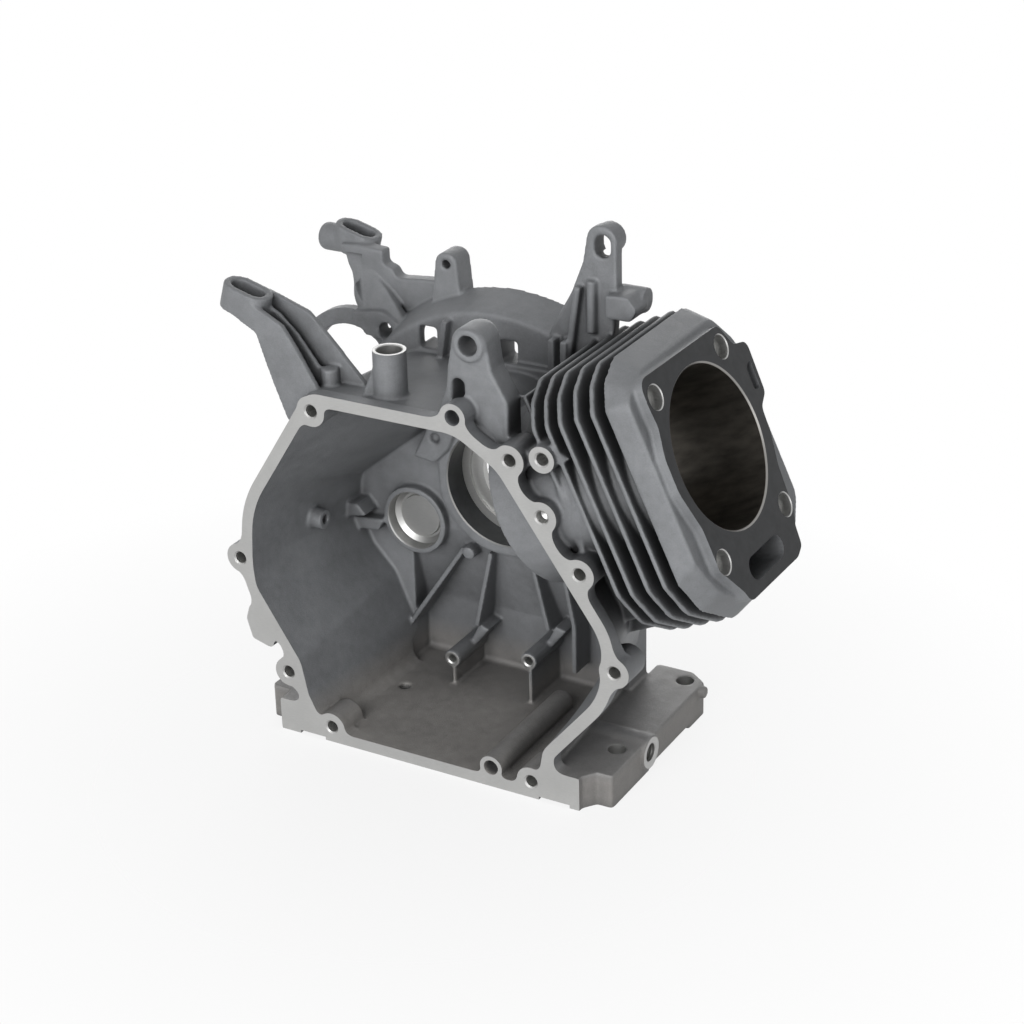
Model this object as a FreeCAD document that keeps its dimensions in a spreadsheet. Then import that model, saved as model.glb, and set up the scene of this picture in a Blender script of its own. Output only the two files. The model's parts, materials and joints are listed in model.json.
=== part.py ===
# Crankcase of a small single cylinder engine: one aluminium casting with a cast-in iron cylinder liner.
# Frame: the origin is on the crank axis in the plane of the cover gasket face. The crank axis runs along Y,
# into the case. X points to the cylinder side and Z points up. Sizes are in millimetres.
import FreeCAD, Part
import math
import os

from FreeCAD import Placement, Rotation, Vector

doc = FreeCAD.newDocument("Crankcase")
sheet = doc.addObject("Spreadsheet::Sheet", "Sizes")

SIZES = [
    # case
    ("crank_height", 133, "crank axis above the underside of the base"),
    ("cavity_depth", 100, "gasket face to the inner face of the end wall"),
    ("sump_depth", 114, "gasket face to the inner face of the wall low in the case"),
    ("case_wall", 5.5, "side wall of the case"),
    ("end_wall", 8, "wall that carries the main bearing"),
    ("floor_thickness", 7, "floor of the case above the underside"),
    ("rim_width", 7, "gasket rim around the cavity"),
    ("rim_thickness", 9, "depth of the gasket rim"),
    ("cavity_top", 75, "ceiling of the cavity above the crank axis"),
    # cover screws
    ("cover_boss_radius", 8.8, "boss round a cover screw"),
    ("cover_boss_length", 20, "depth of the cover screw bosses"),
    ("cover_drill", 6.8, "tapping drill of the cover screws"),
    ("cover_drill_depth", 16, "depth of the cover screw holes"),
    ("countersink", 0.9, "bevel at the mouth of a hole"),
    ("shallow_drill_depth", 6, "depth of the screw hole in front of the cylinder"),
    ("side_boss_drill_depth", 13, "depth of the hole beside the rim"),
    ("dowel_bore", 8, "dowel hole in the gasket face"),
    ("dowel_depth", 10, "depth of a dowel hole"),
    ("side_boss", 14.8, "diameter of the machined boss beside the rim"),
    ("side_boss_length", 30, "length of the boss beside the rim"),
    ("long_boss", 10.6, "diameter of the long bosses in the sump"),
    ("long_boss_face", 79.5, "gasket face to the ends of the long bosses"),
    ("long_boss_drill", 5, "tapping drill of the long bosses"),
    ("long_boss_drill_depth", 15, "depth of the holes in the long bosses"),
    ("sump_half_width", 78.5, "half the width of the sump at the rear"),
    # crankshaft and balancer bearings
    ("bearing_face", 94, "gasket face to the mouth of the bearing seats"),
    ("main_bearing", 72, "outer diameter of the main bearing"),
    ("main_bearing_width", 17, "width of the main bearing"),
    ("main_ring", 42.5, "radius of the ring round the main bearing"),
    ("shoulder_bore", 62, "opening in the bearing shoulder"),
    ("shoulder_width", 2, "width of the bearing shoulder"),
    ("shaft_clearance", 46, "bore between shoulder and oil seal"),
    ("seal_bore", 52, "oil seal seat at the rear of the hub"),
    ("seal_depth", 8, "depth of the oil seal seat"),
    ("hub_radius", 33, "seal hub at the rear of the end wall"),
    ("bearing_wall", 6, "wall round the main bearing at the rear"),
    ("bearing_floor", 3, "wall behind the main bearing"),
    ("hub_end", 122.5, "rear face of the hub"),
    ("balancer_x", -60, "balancer axis across"),
    ("balancer_z", -33, "balancer axis above the crank axis"),
    ("balancer_bearing", 35, "outer diameter of the balancer bearing"),
    ("balancer_depth", 11, "depth of the balancer pocket"),
    ("balancer_ring", 21, "radius of the ring round the balancer pocket"),
    # cylinder
    ("cylinder_tilt", 25, "cylinder axis above the horizontal"),
    ("cylinder_offset", 56.7, "cylinder axis behind the gasket face"),
    ("bore", 88, "cylinder bore"),
    ("liner_wall", 3.5, "iron liner wall"),
    ("barrel_wall", 3, "aluminium round the liner"),
    ("liner_start", 54, "crank axis to the lower end of the liner"),
    ("skirt_length", 34, "length of the barrel inside the cavity"),
    ("deck_height", 167.6, "crank axis to the deck"),
    ("deck_block", 19.8, "thickness of the block under the deck"),
    ("deck_land", 5.6, "height of the machined land above the block"),
    ("deck_shoulder", 5, "width of the sloping shoulder round the land"),
    ("fin_thickness", 2.8, "cooling fin"),
    ("fin_gap", 7.8, "space between the deck block and the first fin"),
    ("fin_pitch", 10.2, "distance between fins"),
    ("fin_count", 5, "full cooling fins"),
    ("fin_front", 56.5, "front edge of the fins from the cylinder axis"),
    ("fin_rear", 67, "rear edge of the fins from the cylinder axis"),
    ("fin_top", 66.3, "top edge of the fins from the cylinder axis"),
    ("fin_bottom", 86, "bottom edge of the fins from the cylinder axis"),
    ("head_bolt_y", 38.5, "head bolts from the cylinder axis along the crank"),
    ("head_bolt_upper", 42, "upper head bolts from the cylinder axis"),
    ("head_bolt_lower", 49.4, "lower head bolts from the cylinder axis"),
    ("head_bolt_drill", 8.5, "tapping drill of the head bolts"),
    ("head_bolt_depth", 40, "depth of the head bolt holes"),
    ("head_dowel", 13, "counterbore round a head bolt"),
    ("head_dowel_depth", 7, "depth of the counterbores"),
    ("pushrod_length", 40, "length of the pushrod passage"),
    ("pushrod_width", 13, "width of the pushrod passage"),
    ("pushrod_height", 64, "pushrod passage below the cylinder axis"),
    # base
    ("base_thickness", 20, "thickness of the base flanges"),
    ("base_front", 10.5, "front of the wide base flanges"),
    ("base_rear", 134.5, "rear of the base flanges"),
    ("base_right", 112.7, "right side of the base"),
    ("base_left", 109, "left side of the base"),
    ("mount_hole", 10.5, "mounting hole"),
    ("mount_right", 101.7, "right mounting holes"),
    ("mount_width", 195, "mounting holes across"),
    ("mount_length", 86, "mounting holes along the crank"),
    ("mount_front", 37.5, "front mounting holes behind the gasket face"),
    ("foot_relief", 1.5, "relief of the underside between the feet"),
    ("drain_bore", 10.5, "tapping drill of the oil drain"),
    ("drain_boss", 10, "radius of the drain boss"),
    ("drain_y", 54.3, "drain behind the gasket face"),
    ("drain_height", 12.2, "drain above the underside"),
    # fan side
    ("fan_wall_front", 91, "front face of the fan side wall"),
    ("fan_wall", 6, "thickness of the fan side wall"),
    ("fan_rim_radius", 113.3, "outer radius of the fan rim"),
    ("fan_rim_foot", 105.8, "radius of the fan rim at the wall"),
    ("fan_rim_end", 115, "rear edge of the fan rim"),
    ("fan_rim_wall", 5, "thickness of the fan rim"),
    ("window_width", 10.4, "window in the fan side wall"),
    ("window_height", 13, "height of a window"),
    ("starter_bore", 53, "opening for the starter nose"),
    ("starter_x", -103, "starter axis across"),
    ("starter_z", 53, "starter axis above the crank axis"),
    ("starter_ring", 9, "width of the ring round the starter opening"),
    ("starter_face", 101, "front face of the starter ring"),
    ("starter_plate", 10, "thickness of the starter ring"),
    ("starter_hole", 8.5, "starter screw hole"),
    ("starter_drill", 30, "depth of the starter screw holes with the way to them"),
    # brackets
    ("tank_x", -110, "tank slots across"),
    ("tank_z", 128.3, "tank slots above the crank axis"),
    ("tank_front", 17.5, "front tank slot behind the gasket face"),
    ("tank_spacing", 110.5, "distance between the tank slots"),
    ("tank_tilt", 16, "slope of the tank seats"),
    ("tank_seat_radius", 9, "radius of a tank seat"),
    ("tank_slot_width", 9.6, "width of a tank slot"),
    ("tank_slot_travel", 11, "travel of a tank slot"),
    ("tank_seat_height", 15, "height of a tank seat"),
    ("rib", 4, "thickness of ribs"),
    ("arm_plate", 3.5, "thickness of the plates of the tank arms"),
    ("governor_x", -25, "governor shaft across"),
    ("governor_y", 22.5, "governor shaft behind the gasket face"),
    ("governor_top", 105.5, "top of the governor boss"),
    ("governor_boss", 18.4, "diameter of the governor boss"),
    ("governor_bore", 14, "seal bore of the governor shaft"),
    ("governor_shaft", 8.2, "shaft hole of the governor"),
    ("eye_x", 30.5, "eye lug across"),
    ("eye_z", 121, "eye lug above the crank axis"),
    ("eye_radius", 9, "radius of the eye lug"),
    ("eye_hole", 11, "hole of the eye lug"),
    ("eye_thickness", 17, "thickness of the eye lug"),
    ("eye_front", 12, "front of the eye lug behind the gasket face"),
    ("tall_lug_x", 66.6, "tall lug across"),
    ("tall_lug_top", 165.8, "top of the tall lug above the crank axis"),
    ("tall_slot_z", 154.6, "slot of the tall lug above the crank axis"),
    ("tall_slot_width", 9.3, "width of the slot in the tall lug"),
    ("lug_thickness", 12.5, "thickness of the lugs at the rim"),
    ("stub_radius", 6.9, "radius of the round stubs"),
]

for row, (alias, value, note) in enumerate(SIZES, start=1):
    sheet.set(f"A{row}", note)
    sheet.set(f"B{row}", str(value))
    sheet.setAlias(f"B{row}", alias)
doc.recompute()


def size(alias):
    return float(sheet.get(alias))


def rounded(points):
    """Edges of a closed outline whose corners (a, b, radius) are rounded by tangent arcs."""
    count = len(points)
    starts = []
    ends = []
    edges = []
    for i in range(count):
        before = Vector(points[i - 1][0], points[i - 1][1], 0)
        corner = Vector(points[i][0], points[i][1], 0)
        after = Vector(points[(i + 1) % count][0], points[(i + 1) % count][1], 0)
        radius = points[i][2]
        back = (before - corner).normalize()
        ahead = (after - corner).normalize()
        half = back.getAngle(ahead) / 2
        if radius <= 0:
            starts.append(corner)
            ends.append(corner)
            edges.append(None)
            continue
        reach = radius / math.tan(half)
        start = corner + back * reach
        end = corner + ahead * reach
        middle = corner + (back + ahead).normalize() * (radius / math.sin(half) - radius)
        starts.append(start)
        ends.append(end)
        edges.append(Part.Arc(start, middle, end))
    outline = []
    for i in range(count):
        if edges[i] is not None:
            outline.append(edges[i])
        following = starts[(i + 1) % count]
        if (following - ends[i]).Length > 1e-6:
            outline.append(Part.LineSegment(ends[i], following))
    return outline


def grown(points, by):
    """The outline moved outwards by a distance; points run counterclockwise."""
    result = []
    count = len(points)
    for i in range(count):
        before = Vector(points[i - 1][0], points[i - 1][1], 0)
        corner = Vector(points[i][0], points[i][1], 0)
        after = Vector(points[(i + 1) % count][0], points[(i + 1) % count][1], 0)
        into = (corner - before).normalize()
        out = (after - corner).normalize()
        normal_in = Vector(into.y, -into.x, 0)
        normal_out = Vector(out.y, -out.x, 0)
        mitre = (normal_in + normal_out).normalize()
        moved = corner + mitre * (by / mitre.dot(normal_in))
        convex = into.x * out.y - into.y * out.x > 0
        radius = points[i][2] + (by if convex else -by)
        result.append((moved.x, moved.y, max(radius, 0.6)))
    return result


FRONT = Rotation(Vector(1, 0, 0), 90)
SIDE = Rotation(Vector(1, 1, 1), 120)
FLAT = Rotation()
TURNED = {"front": (FRONT, Vector(0, 1, 0)), "side": (SIDE, Vector(1, 0, 0)), "flat": (FLAT, Vector(0, 0, 1))}


def sketch(name, plane, geometry):
    """A sketch seen from the front (X, Z), from the cylinder side (Y, Z) or from above (X, Y)."""
    drawing = doc.addObject("Sketcher::SketchObject", name + "_sketch")
    drawing.Placement = Placement(Vector(0, 0, 0), TURNED[plane][0])
    drawing.addGeometry(geometry, False)
    return drawing


def bind(item, settings):
    for target, formula in settings.items():
        item.setExpression(target, formula)


def extruded(name, plane, geometry, start, length):
    """The outline pushed along its plane's axis, from a start place, by a length; both are formulas."""
    drawing = sketch(name, plane, geometry)
    axis = {"front": "y", "side": "x", "flat": "z"}[plane]
    drawing.setExpression("Placement.Base." + axis, start)
    solid = doc.addObject("Part::Extrusion", name)
    solid.Base = drawing
    solid.DirMode = "Custom"
    solid.Dir = TURNED[plane][1]
    solid.Solid = True
    solid.setExpression("LengthFwd", length)
    return solid


def plate(name, plane, points, start, length):
    return extruded(name, plane, rounded(points), start, length)


def cylinder(name, radius, height, x="0", y="0", z="0", axis="y"):
    """A round bar along X, Y or Z from its foot; every size and place is a formula."""
    solid = doc.addObject("Part::Cylinder", name)
    turn = {"x": Rotation(Vector(0, 1, 0), 90), "y": Rotation(Vector(1, 0, 0), -90), "z": Rotation()}[axis]
    solid.Placement = Placement(Vector(0, 0, 0), turn)
    bind(solid, {"Radius": radius, "Height": height})
    bind(solid, {"Placement.Base.x": x, "Placement.Base.y": y, "Placement.Base.z": z})
    return solid


def cone(name, radius1, radius2, height, x="0", y="0", z="0", axis="y"):
    solid = doc.addObject("Part::Cone", name)
    turn = {"x": Rotation(Vector(0, 1, 0), 90), "y": Rotation(Vector(1, 0, 0), -90), "z": Rotation()}[axis]
    solid.Placement = Placement(Vector(0, 0, 0), turn)
    bind(solid, {"Radius1": radius1, "Radius2": radius2, "Height": height})
    bind(solid, {"Placement.Base.x": x, "Placement.Base.y": y, "Placement.Base.z": z})
    return solid


def box(name, length, width, height, x, y, z):
    solid = doc.addObject("Part::Box", name)
    bind(solid, {"Length": length, "Width": width, "Height": height})
    bind(solid, {"Placement.Base.x": x, "Placement.Base.y": y, "Placement.Base.z": z})
    return solid


def fused(name, pieces):
    union = doc.addObject("Part::MultiFuse", name)
    union.Shapes = pieces
    return union


def joined(name, groups):
    """Groups united one after another."""
    union = groups[0]
    for step, group in enumerate(groups[1:], start=1):
        pair = doc.addObject("Part::Fuse", f"{name}_{step}")
        pair.Base = union
        pair.Tool = group
        union = pair
    return union


def cut(name, base, tool):
    result = doc.addObject("Part::Cut", name)
    result.Base = base
    result.Tool = tool
    return result


def leaning(solid):
    """Turns a piece drawn with the cylinder axis along X to the tilt of the cylinder."""
    solid.Placement = Placement(Vector(0, 0, 0), Rotation(Vector(0, -1, 0), size("cylinder_tilt")))
    solid.setExpression("Placement.Rotation.Angle", "Sizes.cylinder_tilt")
    return solid


def lofted(name, first_points, last_points, start, end):
    """A solid whose outline changes evenly from one seen from the front to another behind it."""
    first = sketch(name + "_first", "front", rounded(first_points))
    last = sketch(name + "_last", "front", rounded(last_points))
    first.setExpression("Placement.Base.y", start)
    last.setExpression("Placement.Base.y", end)
    solid = doc.addObject("Part::Loft", name)
    solid.Sections = [first, last]
    solid.Solid = True
    solid.Ruled = True
    return solid


def rib(name, first, last, width, start, length):
    """A straight rib between two points seen from the front."""
    along = Vector(last[0] - first[0], last[1] - first[1], 0).normalize()
    side = Vector(-along.y, along.x, 0) * (width / 2)
    points = [
        (first[0] + side.x, first[1] + side.y, 0), (first[0] - side.x, first[1] - side.y, 0),
        (last[0] - side.x, last[1] - side.y, 0), (last[0] + side.x, last[1] + side.y, 0),
    ]
    return plate(name, "front", points, start, length)


def slot(name, radius, travel, start, length, plane="flat"):
    """A bar with two round ends, centred on the origin and long along the first axis of its plane."""
    ends = [(-travel / 2 - radius, -radius), (travel / 2 + radius, -radius),
            (travel / 2 + radius, radius), (-travel / 2 - radius, radius)]
    points = [(a, b, radius * 0.9999) for a, b in ends]
    return plate(name, plane, points, start, length)


base_z = -size("crank_height")
floor_z = base_z + size("floor_thickness")
top_z = size("cavity_top")
wall_rear = size("cavity_depth") + size("end_wall")
sump_rear = size("sump_depth") + size("end_wall") - 1

# The cavity at the gasket face and at the end wall, counterclockwise from the lower left corner.
CAVITY = [
    (-66, floor_z, 8),
    (72, floor_z, 6),
    (76, floor_z + 25, 14),
    (111, floor_z + 67, 40),
    (113, top_z - 102, 30),
    (52, top_z - 15.5, 26),
    (27, top_z, 26),
    (-61, top_z, 8),
    (-106, top_z - 70.5, 60),
    (-108.5, top_z - 105, 14),
    (-107, floor_z + 82, 14),
    (-80, floor_z + 40, 16),
    (-76, floor_z + 20, 10),
]
CAVITY_REAR = [
    (-62, floor_z, 8),
    (66, floor_z, 6),
    (69, floor_z + 25, 10),
    (78, floor_z + 60, 20),
    (84, top_z - 102, 20),
    (50, top_z - 22, 20),
    (27, top_z - 5, 20),
    (-38, top_z - 39, 20),
    (-99, top_z - 88, 12),
    (-101, top_z - 111, 8),
    (-93, floor_z + 70, 10),
    (-78, floor_z + 54, 12),
    (-67, floor_z + 28, 10),
]
CASE_REAR = CAVITY_REAR[:7] + [(-52, top_z - 5, 14), (-101, top_z - 72, 20)] + CAVITY_REAR[9:]

# Cover screws at the gasket face: place across and height above the crank axis.
COVER_SCREWS = {
    "upper_left": (-62.4, top_z - 3.9),
    "upper_right": (59.3, top_z - 8.6),
    "right": (99.3, top_z - 65),
    "lower_right": (119.3, floor_z + 83.3),
    "base_right": (68.2, floor_z + 3),
    "base_left": (-61.3, floor_z + 2.6),
    "lower_left": (-88.9, floor_z + 31.4),
    "left": (-116.8, floor_z + 97.6),
    "middle_right": (77.8, top_z - 36.8),
}
DOWELS = {"upper": (26.2, top_z + 9.2), "lower": (43.1, floor_z + 5)}
SIDE_BOSS = (78.5, top_z - 4.2)
STARTER_SCREW = (25.1, 27.3)
HUB_RIBS = [70, 115, 160, 205, 335]
LONG_BOSSES = {"left": (-28.6, floor_z + 16), "right": (22.8, floor_z + 27)}
FIN_INSETS = {3: 3, 4: 5.8}
FIN_FEET = {4: -34}
WINDOWS = [(-43.4, top_z + 10), (8.4, top_z + 10.3)]
RIM_LUG = (-40.6, 123)
BACK_RIBS = [
    ((-28, -45), (-67, -103)), ((-10, -44), (-21, -94)), ((17, -45), (27, -86)), ((36, -40), (44, -80)),
    ((44, -80), (44, -110)),
]


def case():
    """Side walls, gasket rim, the boss beside the rim and the deeper wall low in the case."""
    wall = size("case_wall")
    walls = lofted("case_walls", grown(CAVITY, wall), grown(CASE_REAR, wall), "0",
                   "Sizes.cavity_depth + Sizes.end_wall")
    rim = grown(CAVITY, size("rim_width"))
    pieces = [walls, plate("gasket_rim", "front", rim, "0", "Sizes.rim_thickness")]
    left_tab = [(-112, floor_z + 48, 0), (-98, floor_z + 44, 3), (-96, floor_z + 66, 0),
                (-104, floor_z + 76, 0), (-113, floor_z + 68, 3), (-115.5, floor_z + 60, 2)]
    pieces.append(plate("left_tab", "front", left_tab, "0", "Sizes.rim_thickness"))
    boss_x, boss_z = SIDE_BOSS
    pieces.append(cylinder("side_boss", "Sizes.side_boss / 2", "Sizes.side_boss_length",
                           str(boss_x), "0", str(boss_z)))
    web = [(boss_x - 19, boss_z - 9, 0), (boss_x + 3, boss_z - 5, 0), (boss_x + 14, boss_z + 1, 0),
           (boss_x + 8, boss_z + 5, 0), (boss_x - 1, boss_z + 3, 0), (boss_x - 19, boss_z - 1, 0)]
    pieces.append(plate("side_boss_web", "front", web, "Sizes.rim_thickness / 2", "Sizes.side_boss_length"))
    right_screw = COVER_SCREWS["right"]
    pieces.append(rib("side_boss_rib", SIDE_BOSS, right_screw, size("rib"), "Sizes.rim_thickness", "22"))
    sump = [(wall_rear - 10, base_z, 0), (sump_rear, base_z, 0), (sump_rear, floor_z + 48, 14),
            (wall_rear - 1, floor_z + 96, 10), (wall_rear - 10, floor_z + 100, 0)]
    pieces.append(plate("sump_walls", "side", sump, "-Sizes.sump_half_width", "2 * Sizes.sump_half_width"))
    return pieces


def base():
    """Base flanges, the oil drain boss and a locating peg."""
    right = size("base_right")
    left = -size("base_left")
    front = size("base_front")
    rear = size("base_rear")
    inner = size("sump_half_width") - 18
    between = rear - 30
    right_flange = [
        (inner, 0, 0), (98, 0, 0), (98, 3, 2), (103.5, front, 2), (right, front, 2), (right, rear - 8, 3),
        (right - 11, rear, 4), (inner + 18, rear, 3), (inner + 18, between, 0), (inner, between, 0),
    ]
    left_flange = [
        (-inner, 0, 0), (-inner, between, 0), (-inner - 18, between, 0), (-inner - 18, rear, 3),
        (left + 8, rear, 4), (left, rear - 8, 3), (left, front, 3), (-96, front, 0), (-96, 0, 0),
    ]
    middle = [(-inner - 2, 0, 0), (inner + 2, 0, 0), (inner + 2, between, 0), (-inner - 2, between, 0)]
    underside = "-Sizes.crank_height"
    return [
        plate("base_flange_right", "flat", right_flange, underside, "Sizes.base_thickness"),
        plate("base_flange_left", "flat", left_flange, underside, "Sizes.base_thickness"),
        plate("base_middle", "flat", middle, underside, "Sizes.floor_thickness"),
        cylinder("drain_collar", "Sizes.drain_boss", "Sizes.base_right + 2 - 70", "70", "Sizes.drain_y",
                 "Sizes.drain_height - Sizes.crank_height", "x"),
        cylinder("side_peg", "3.5", "5", "Sizes.base_right - 1.5", "Sizes.base_rear - 13",
                 "Sizes.base_thickness - Sizes.crank_height - 3.5", "x"),
    ]


def revolved(name, profile, start, sweep):
    """A ring about the crank axis from a profile of radius and depth, from one angle through another."""
    drawing = sketch(name, "flat", rounded(profile))
    ring = doc.addObject("Part::Revolution", name)
    ring.Source = drawing
    ring.Axis = Vector(0, -1, 0)
    ring.Base = Vector(0, 0, 0)
    ring.Solid = True
    ring.Angle = sweep
    ring.Placement = Placement(Vector(0, 0, 0), Rotation(Vector(0, -1, 0), start))
    return ring


def fan_side():
    """Wall, rim, starter ring, bearing hub and ribs on the flywheel side."""
    front = size("fan_wall_front")
    back = front + size("fan_wall")
    rim_end = size("fan_rim_end")
    foot = size("fan_rim_foot")
    outer = size("fan_rim_radius")
    thick = size("fan_rim_wall")
    seat_end = "Sizes.bearing_face + Sizes.main_bearing_width"
    profile = [
        (foot - 14, front, 0), (foot, front, 2.5), (outer, rim_end, 0), (outer - thick, rim_end, 0),
        (foot - thick, back, 2), (foot - 14, back, 0),
    ]
    wall_disc = [
        (66, -20, 0), (66, 94, 0), (46, 94, 0), (0, foot - 4, 60), (-46, 84, 40), (-80, 45, 40),
        (-95, 0, 40), (-84, -40, 20), (-60, -60, 0),
    ]
    pieces = [
        revolved("fan_rim", profile, 64, 176),
        plate("fan_wall", "front", wall_disc, "Sizes.fan_wall_front",
              "Sizes.cavity_depth + Sizes.end_wall - Sizes.fan_wall_front"),
        cylinder("bearing_hub", "Sizes.main_bearing / 2 + Sizes.bearing_wall",
                 f"{seat_end} + Sizes.bearing_floor - Sizes.fan_wall_front - 10",
                 "0", "Sizes.fan_wall_front + 10", "0"),
        cylinder("seal_hub", "Sizes.hub_radius", "Sizes.hub_end - Sizes.fan_wall_front - 10",
                 "0", "Sizes.fan_wall_front + 10", "0"),
    ]
    starter_x = size("starter_x")
    starter_z = size("starter_z")
    reach = size("starter_bore") / 2 + size("starter_ring")
    screw_x, screw_z = STARTER_SCREW
    web = [
        (starter_x - 6, starter_z - reach + 1, 0), (-78, 12, 0), (-60, 62, 0),
        (starter_x + screw_x + 10, starter_z + screw_z + 4, 6),
        (starter_x + screw_x - 2, starter_z + screw_z + 11, 8),
        (starter_x + 4, starter_z + reach - 0.5, 0),
    ]
    pieces.append(plate("starter_web", "front", web, "Sizes.starter_face", "Sizes.starter_plate"))
    pieces.append(cylinder("starter_round", "Sizes.starter_bore / 2 + Sizes.starter_ring",
                           "Sizes.starter_plate", "Sizes.starter_x", "Sizes.starter_face", "Sizes.starter_z"))
    pieces.append(cylinder("starter_ear", "Sizes.starter_hole / 2 + 6", "Sizes.starter_plate",
                           f"Sizes.starter_x - {screw_x}", "Sizes.starter_face",
                           f"Sizes.starter_z - {screw_z}"))
    for index, angle in enumerate(HUB_RIBS):
        foot = wall_rear - 6
        hub_rib = [(30, foot, 0), (92, foot, 0), (92, wall_rear + 1, 0), (32, wall_rear + 8, 0)]
        web = plate(f"hub_rib_{index + 1}", "flat", hub_rib, "-Sizes.rib / 2", "Sizes.rib")
        web.Placement = Placement(Vector(0, 0, 0), Rotation(Vector(0, -1, 0), angle))
        pieces.append(web)
    pieces.append(rib("window_rib_left", (-29, 99), (-34, 70), 4, "Sizes.fan_wall_front - 6", "8"))
    pieces.append(rib("window_rib_right", (38.5, 100), (38.5, 72), 4, "Sizes.fan_wall_front - 7", "9"))
    pieces.append(rib("window_rib_end", (46, 100), (46, 66), 4, "Sizes.fan_wall_front - 7", "9"))
    ledge = [(3, 70, 0), (52, 70, 0), (48, 80.8, 0), (5, 80.5, 2)]
    pieces.append(plate("roof_ledge", "front", ledge, "Sizes.fan_wall_front - 5", "7"))
    return pieces


def land_outline():
    """The machined land round the bore and the head bolts, seen along the cylinder axis."""
    bore = size("bore") / 2
    along = size("head_bolt_y")
    upper = size("head_bolt_upper")
    lower = -size("head_bolt_lower")
    return [
        (-along - 9, upper + 12, 7), (-along - 9.5, upper - 2, 5), (-bore - 3, 28.6, 10),
        (-bore - 8.3, 13.5, 18), (-bore - 8.5, -5.5, 18), (-bore - 1.3, -28, 12),
        (-along - 6.7, lower - 2, 8), (-along + 7, lower - 20, 6),
        (-along + 10, lower - 27, 6), (along - 8, lower - 27.5, 6), (along, lower - 24, 4),
        (along + 1.5, lower - 13, 3), (along + 6, lower - 5, 6), (along + 8.5, lower + 20, 12),
        (bore + 8.5, -13, 10), (bore + 10, 1.5, 4), (along + 24.5, 7, 4), (along + 26, upper - 6, 5),
        (along + 12, upper - 3, 4), (along + 4, upper + 10.8, 6),
    ]


def fin_outline(inset=0, low=None, roof=0, floor=0):
    """The fins and the deck block along the cylinder axis, counterclockwise; the front edge can stand back,
    the foot can be raised, and the roof and the floor can be drawn in towards the land."""
    front = inset - size("fin_front")
    rear = size("fin_rear") - roof / 3
    top = size("fin_top") - roof
    bottom = floor - size("fin_bottom") if low is None else low
    return [
        (front, bottom + 36, 10), (front + 10, bottom + 16, 12), (front + 35, bottom, 16),
        (rear - 27, bottom, 16),
        (rear, bottom + 26, 14), (rear, top - 18, 10), (rear - 15, top, 10), (front + 24, top, 12),
        (front + 9, top - 8 + roof / 3, 9), (front, top - 20 + roof, 8),
    ]


def along_cylinder(name, points, start, length):
    """An outline about the cylinder axis, pushed along the axis before the cylinder is tilted."""
    solid = plate(name, "side", points, start, length)
    solid.Base.setExpression("Placement.Base.y", "Sizes.cylinder_offset")
    return solid


def lofted_along(name, first_points, last_points, start, end):
    sections = []
    for label, points, place in (("first", first_points, start), ("last", last_points, end)):
        section = sketch(f"{name}_{label}", "side", rounded(points))
        section.setExpression("Placement.Base.x", place)
        section.setExpression("Placement.Base.y", "Sizes.cylinder_offset")
        sections.append(section)
    solid = doc.addObject("Part::Loft", name)
    solid.Sections = sections
    solid.Solid = True
    solid.Ruled = True
    return solid


def round_along(name, radius, start, end, y="0", height="0"):
    """A round bar along the cylinder axis, placed from the axis."""
    length = f"({end}) - ({start})"
    return cylinder(name, radius, length, start, f"Sizes.cylinder_offset + ({y})", height, "x")


def cylinder_outside():
    """Barrel, fins, deck block with its land and the pushrod tunnel."""
    block = "Sizes.deck_height - Sizes.deck_block"
    land = "Sizes.deck_height - Sizes.deck_land"
    barrel = "Sizes.bore / 2 + Sizes.liner_wall + Sizes.barrel_wall"
    pieces = [round_along("barrel", barrel, "Sizes.liner_start + 18", block)]
    for index in range(int(size("fin_count"))):
        outline = fin_outline(FIN_INSETS.get(index, 0), FIN_FEET.get(index))
        place = f"{block} - Sizes.fin_gap - {index} * Sizes.fin_pitch - Sizes.fin_thickness / 2"
        pieces.append(along_cylinder(f"fin_{index + 1}", outline, place, "Sizes.fin_thickness"))
    last = f"{block} - Sizes.fin_gap - Sizes.fin_count * Sizes.fin_pitch - Sizes.fin_thickness / 2"
    rear = size("fin_rear")
    top = size("fin_top")
    short = [(-32.7, 30, 0), (rear, 30, 0), (rear, top - 5.7, 3), (-32.7, top - 5.7, 1.5)]
    pieces.append(along_cylinder("fin_short", short, last, "Sizes.fin_thickness"))
    pieces.append(lofted_along("deck_block", fin_outline(), fin_outline(1, roof=10, floor=8), block, land))
    shoulder = grown(land_outline()[::-1], size("deck_shoulder"))[::-1]
    pieces.append(lofted_along("deck_shoulder", shoulder, land_outline(), f"{land} - 1",
                               "Sizes.deck_height - 1"))
    pieces.append(along_cylinder("deck_land", land_outline(), f"{block} + 2", "Sizes.deck_block - 2"))
    bottom = -size("fin_bottom")
    tunnel = [(-25, bottom + 12, 4), (27, bottom + 12, 4), (27, -40, 0), (-25, -40, 0)]
    start = "Sizes.liner_start + 16"
    length = f"{block} - Sizes.liner_start - 16"
    pieces.append(along_cylinder("pushrod_tunnel", tunnel, start, length))
    rib_outline = [(-12, bottom + 2, 0), (-8, bottom + 2, 0), (-8, -50, 0), (-12, -50, 0)]
    pieces.append(along_cylinder("tunnel_rib", rib_outline, start, length))
    return leaning(fused("cylinder_outside", pieces))


def tank_seat(name, y):
    """A sloping seat with two round ends that carries a tank foot."""
    seat = slot(name, size("tank_seat_radius"), size("tank_slot_travel"), "-Sizes.tank_seat_height",
                "Sizes.tank_seat_height")
    return sloped(seat, y)


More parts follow.
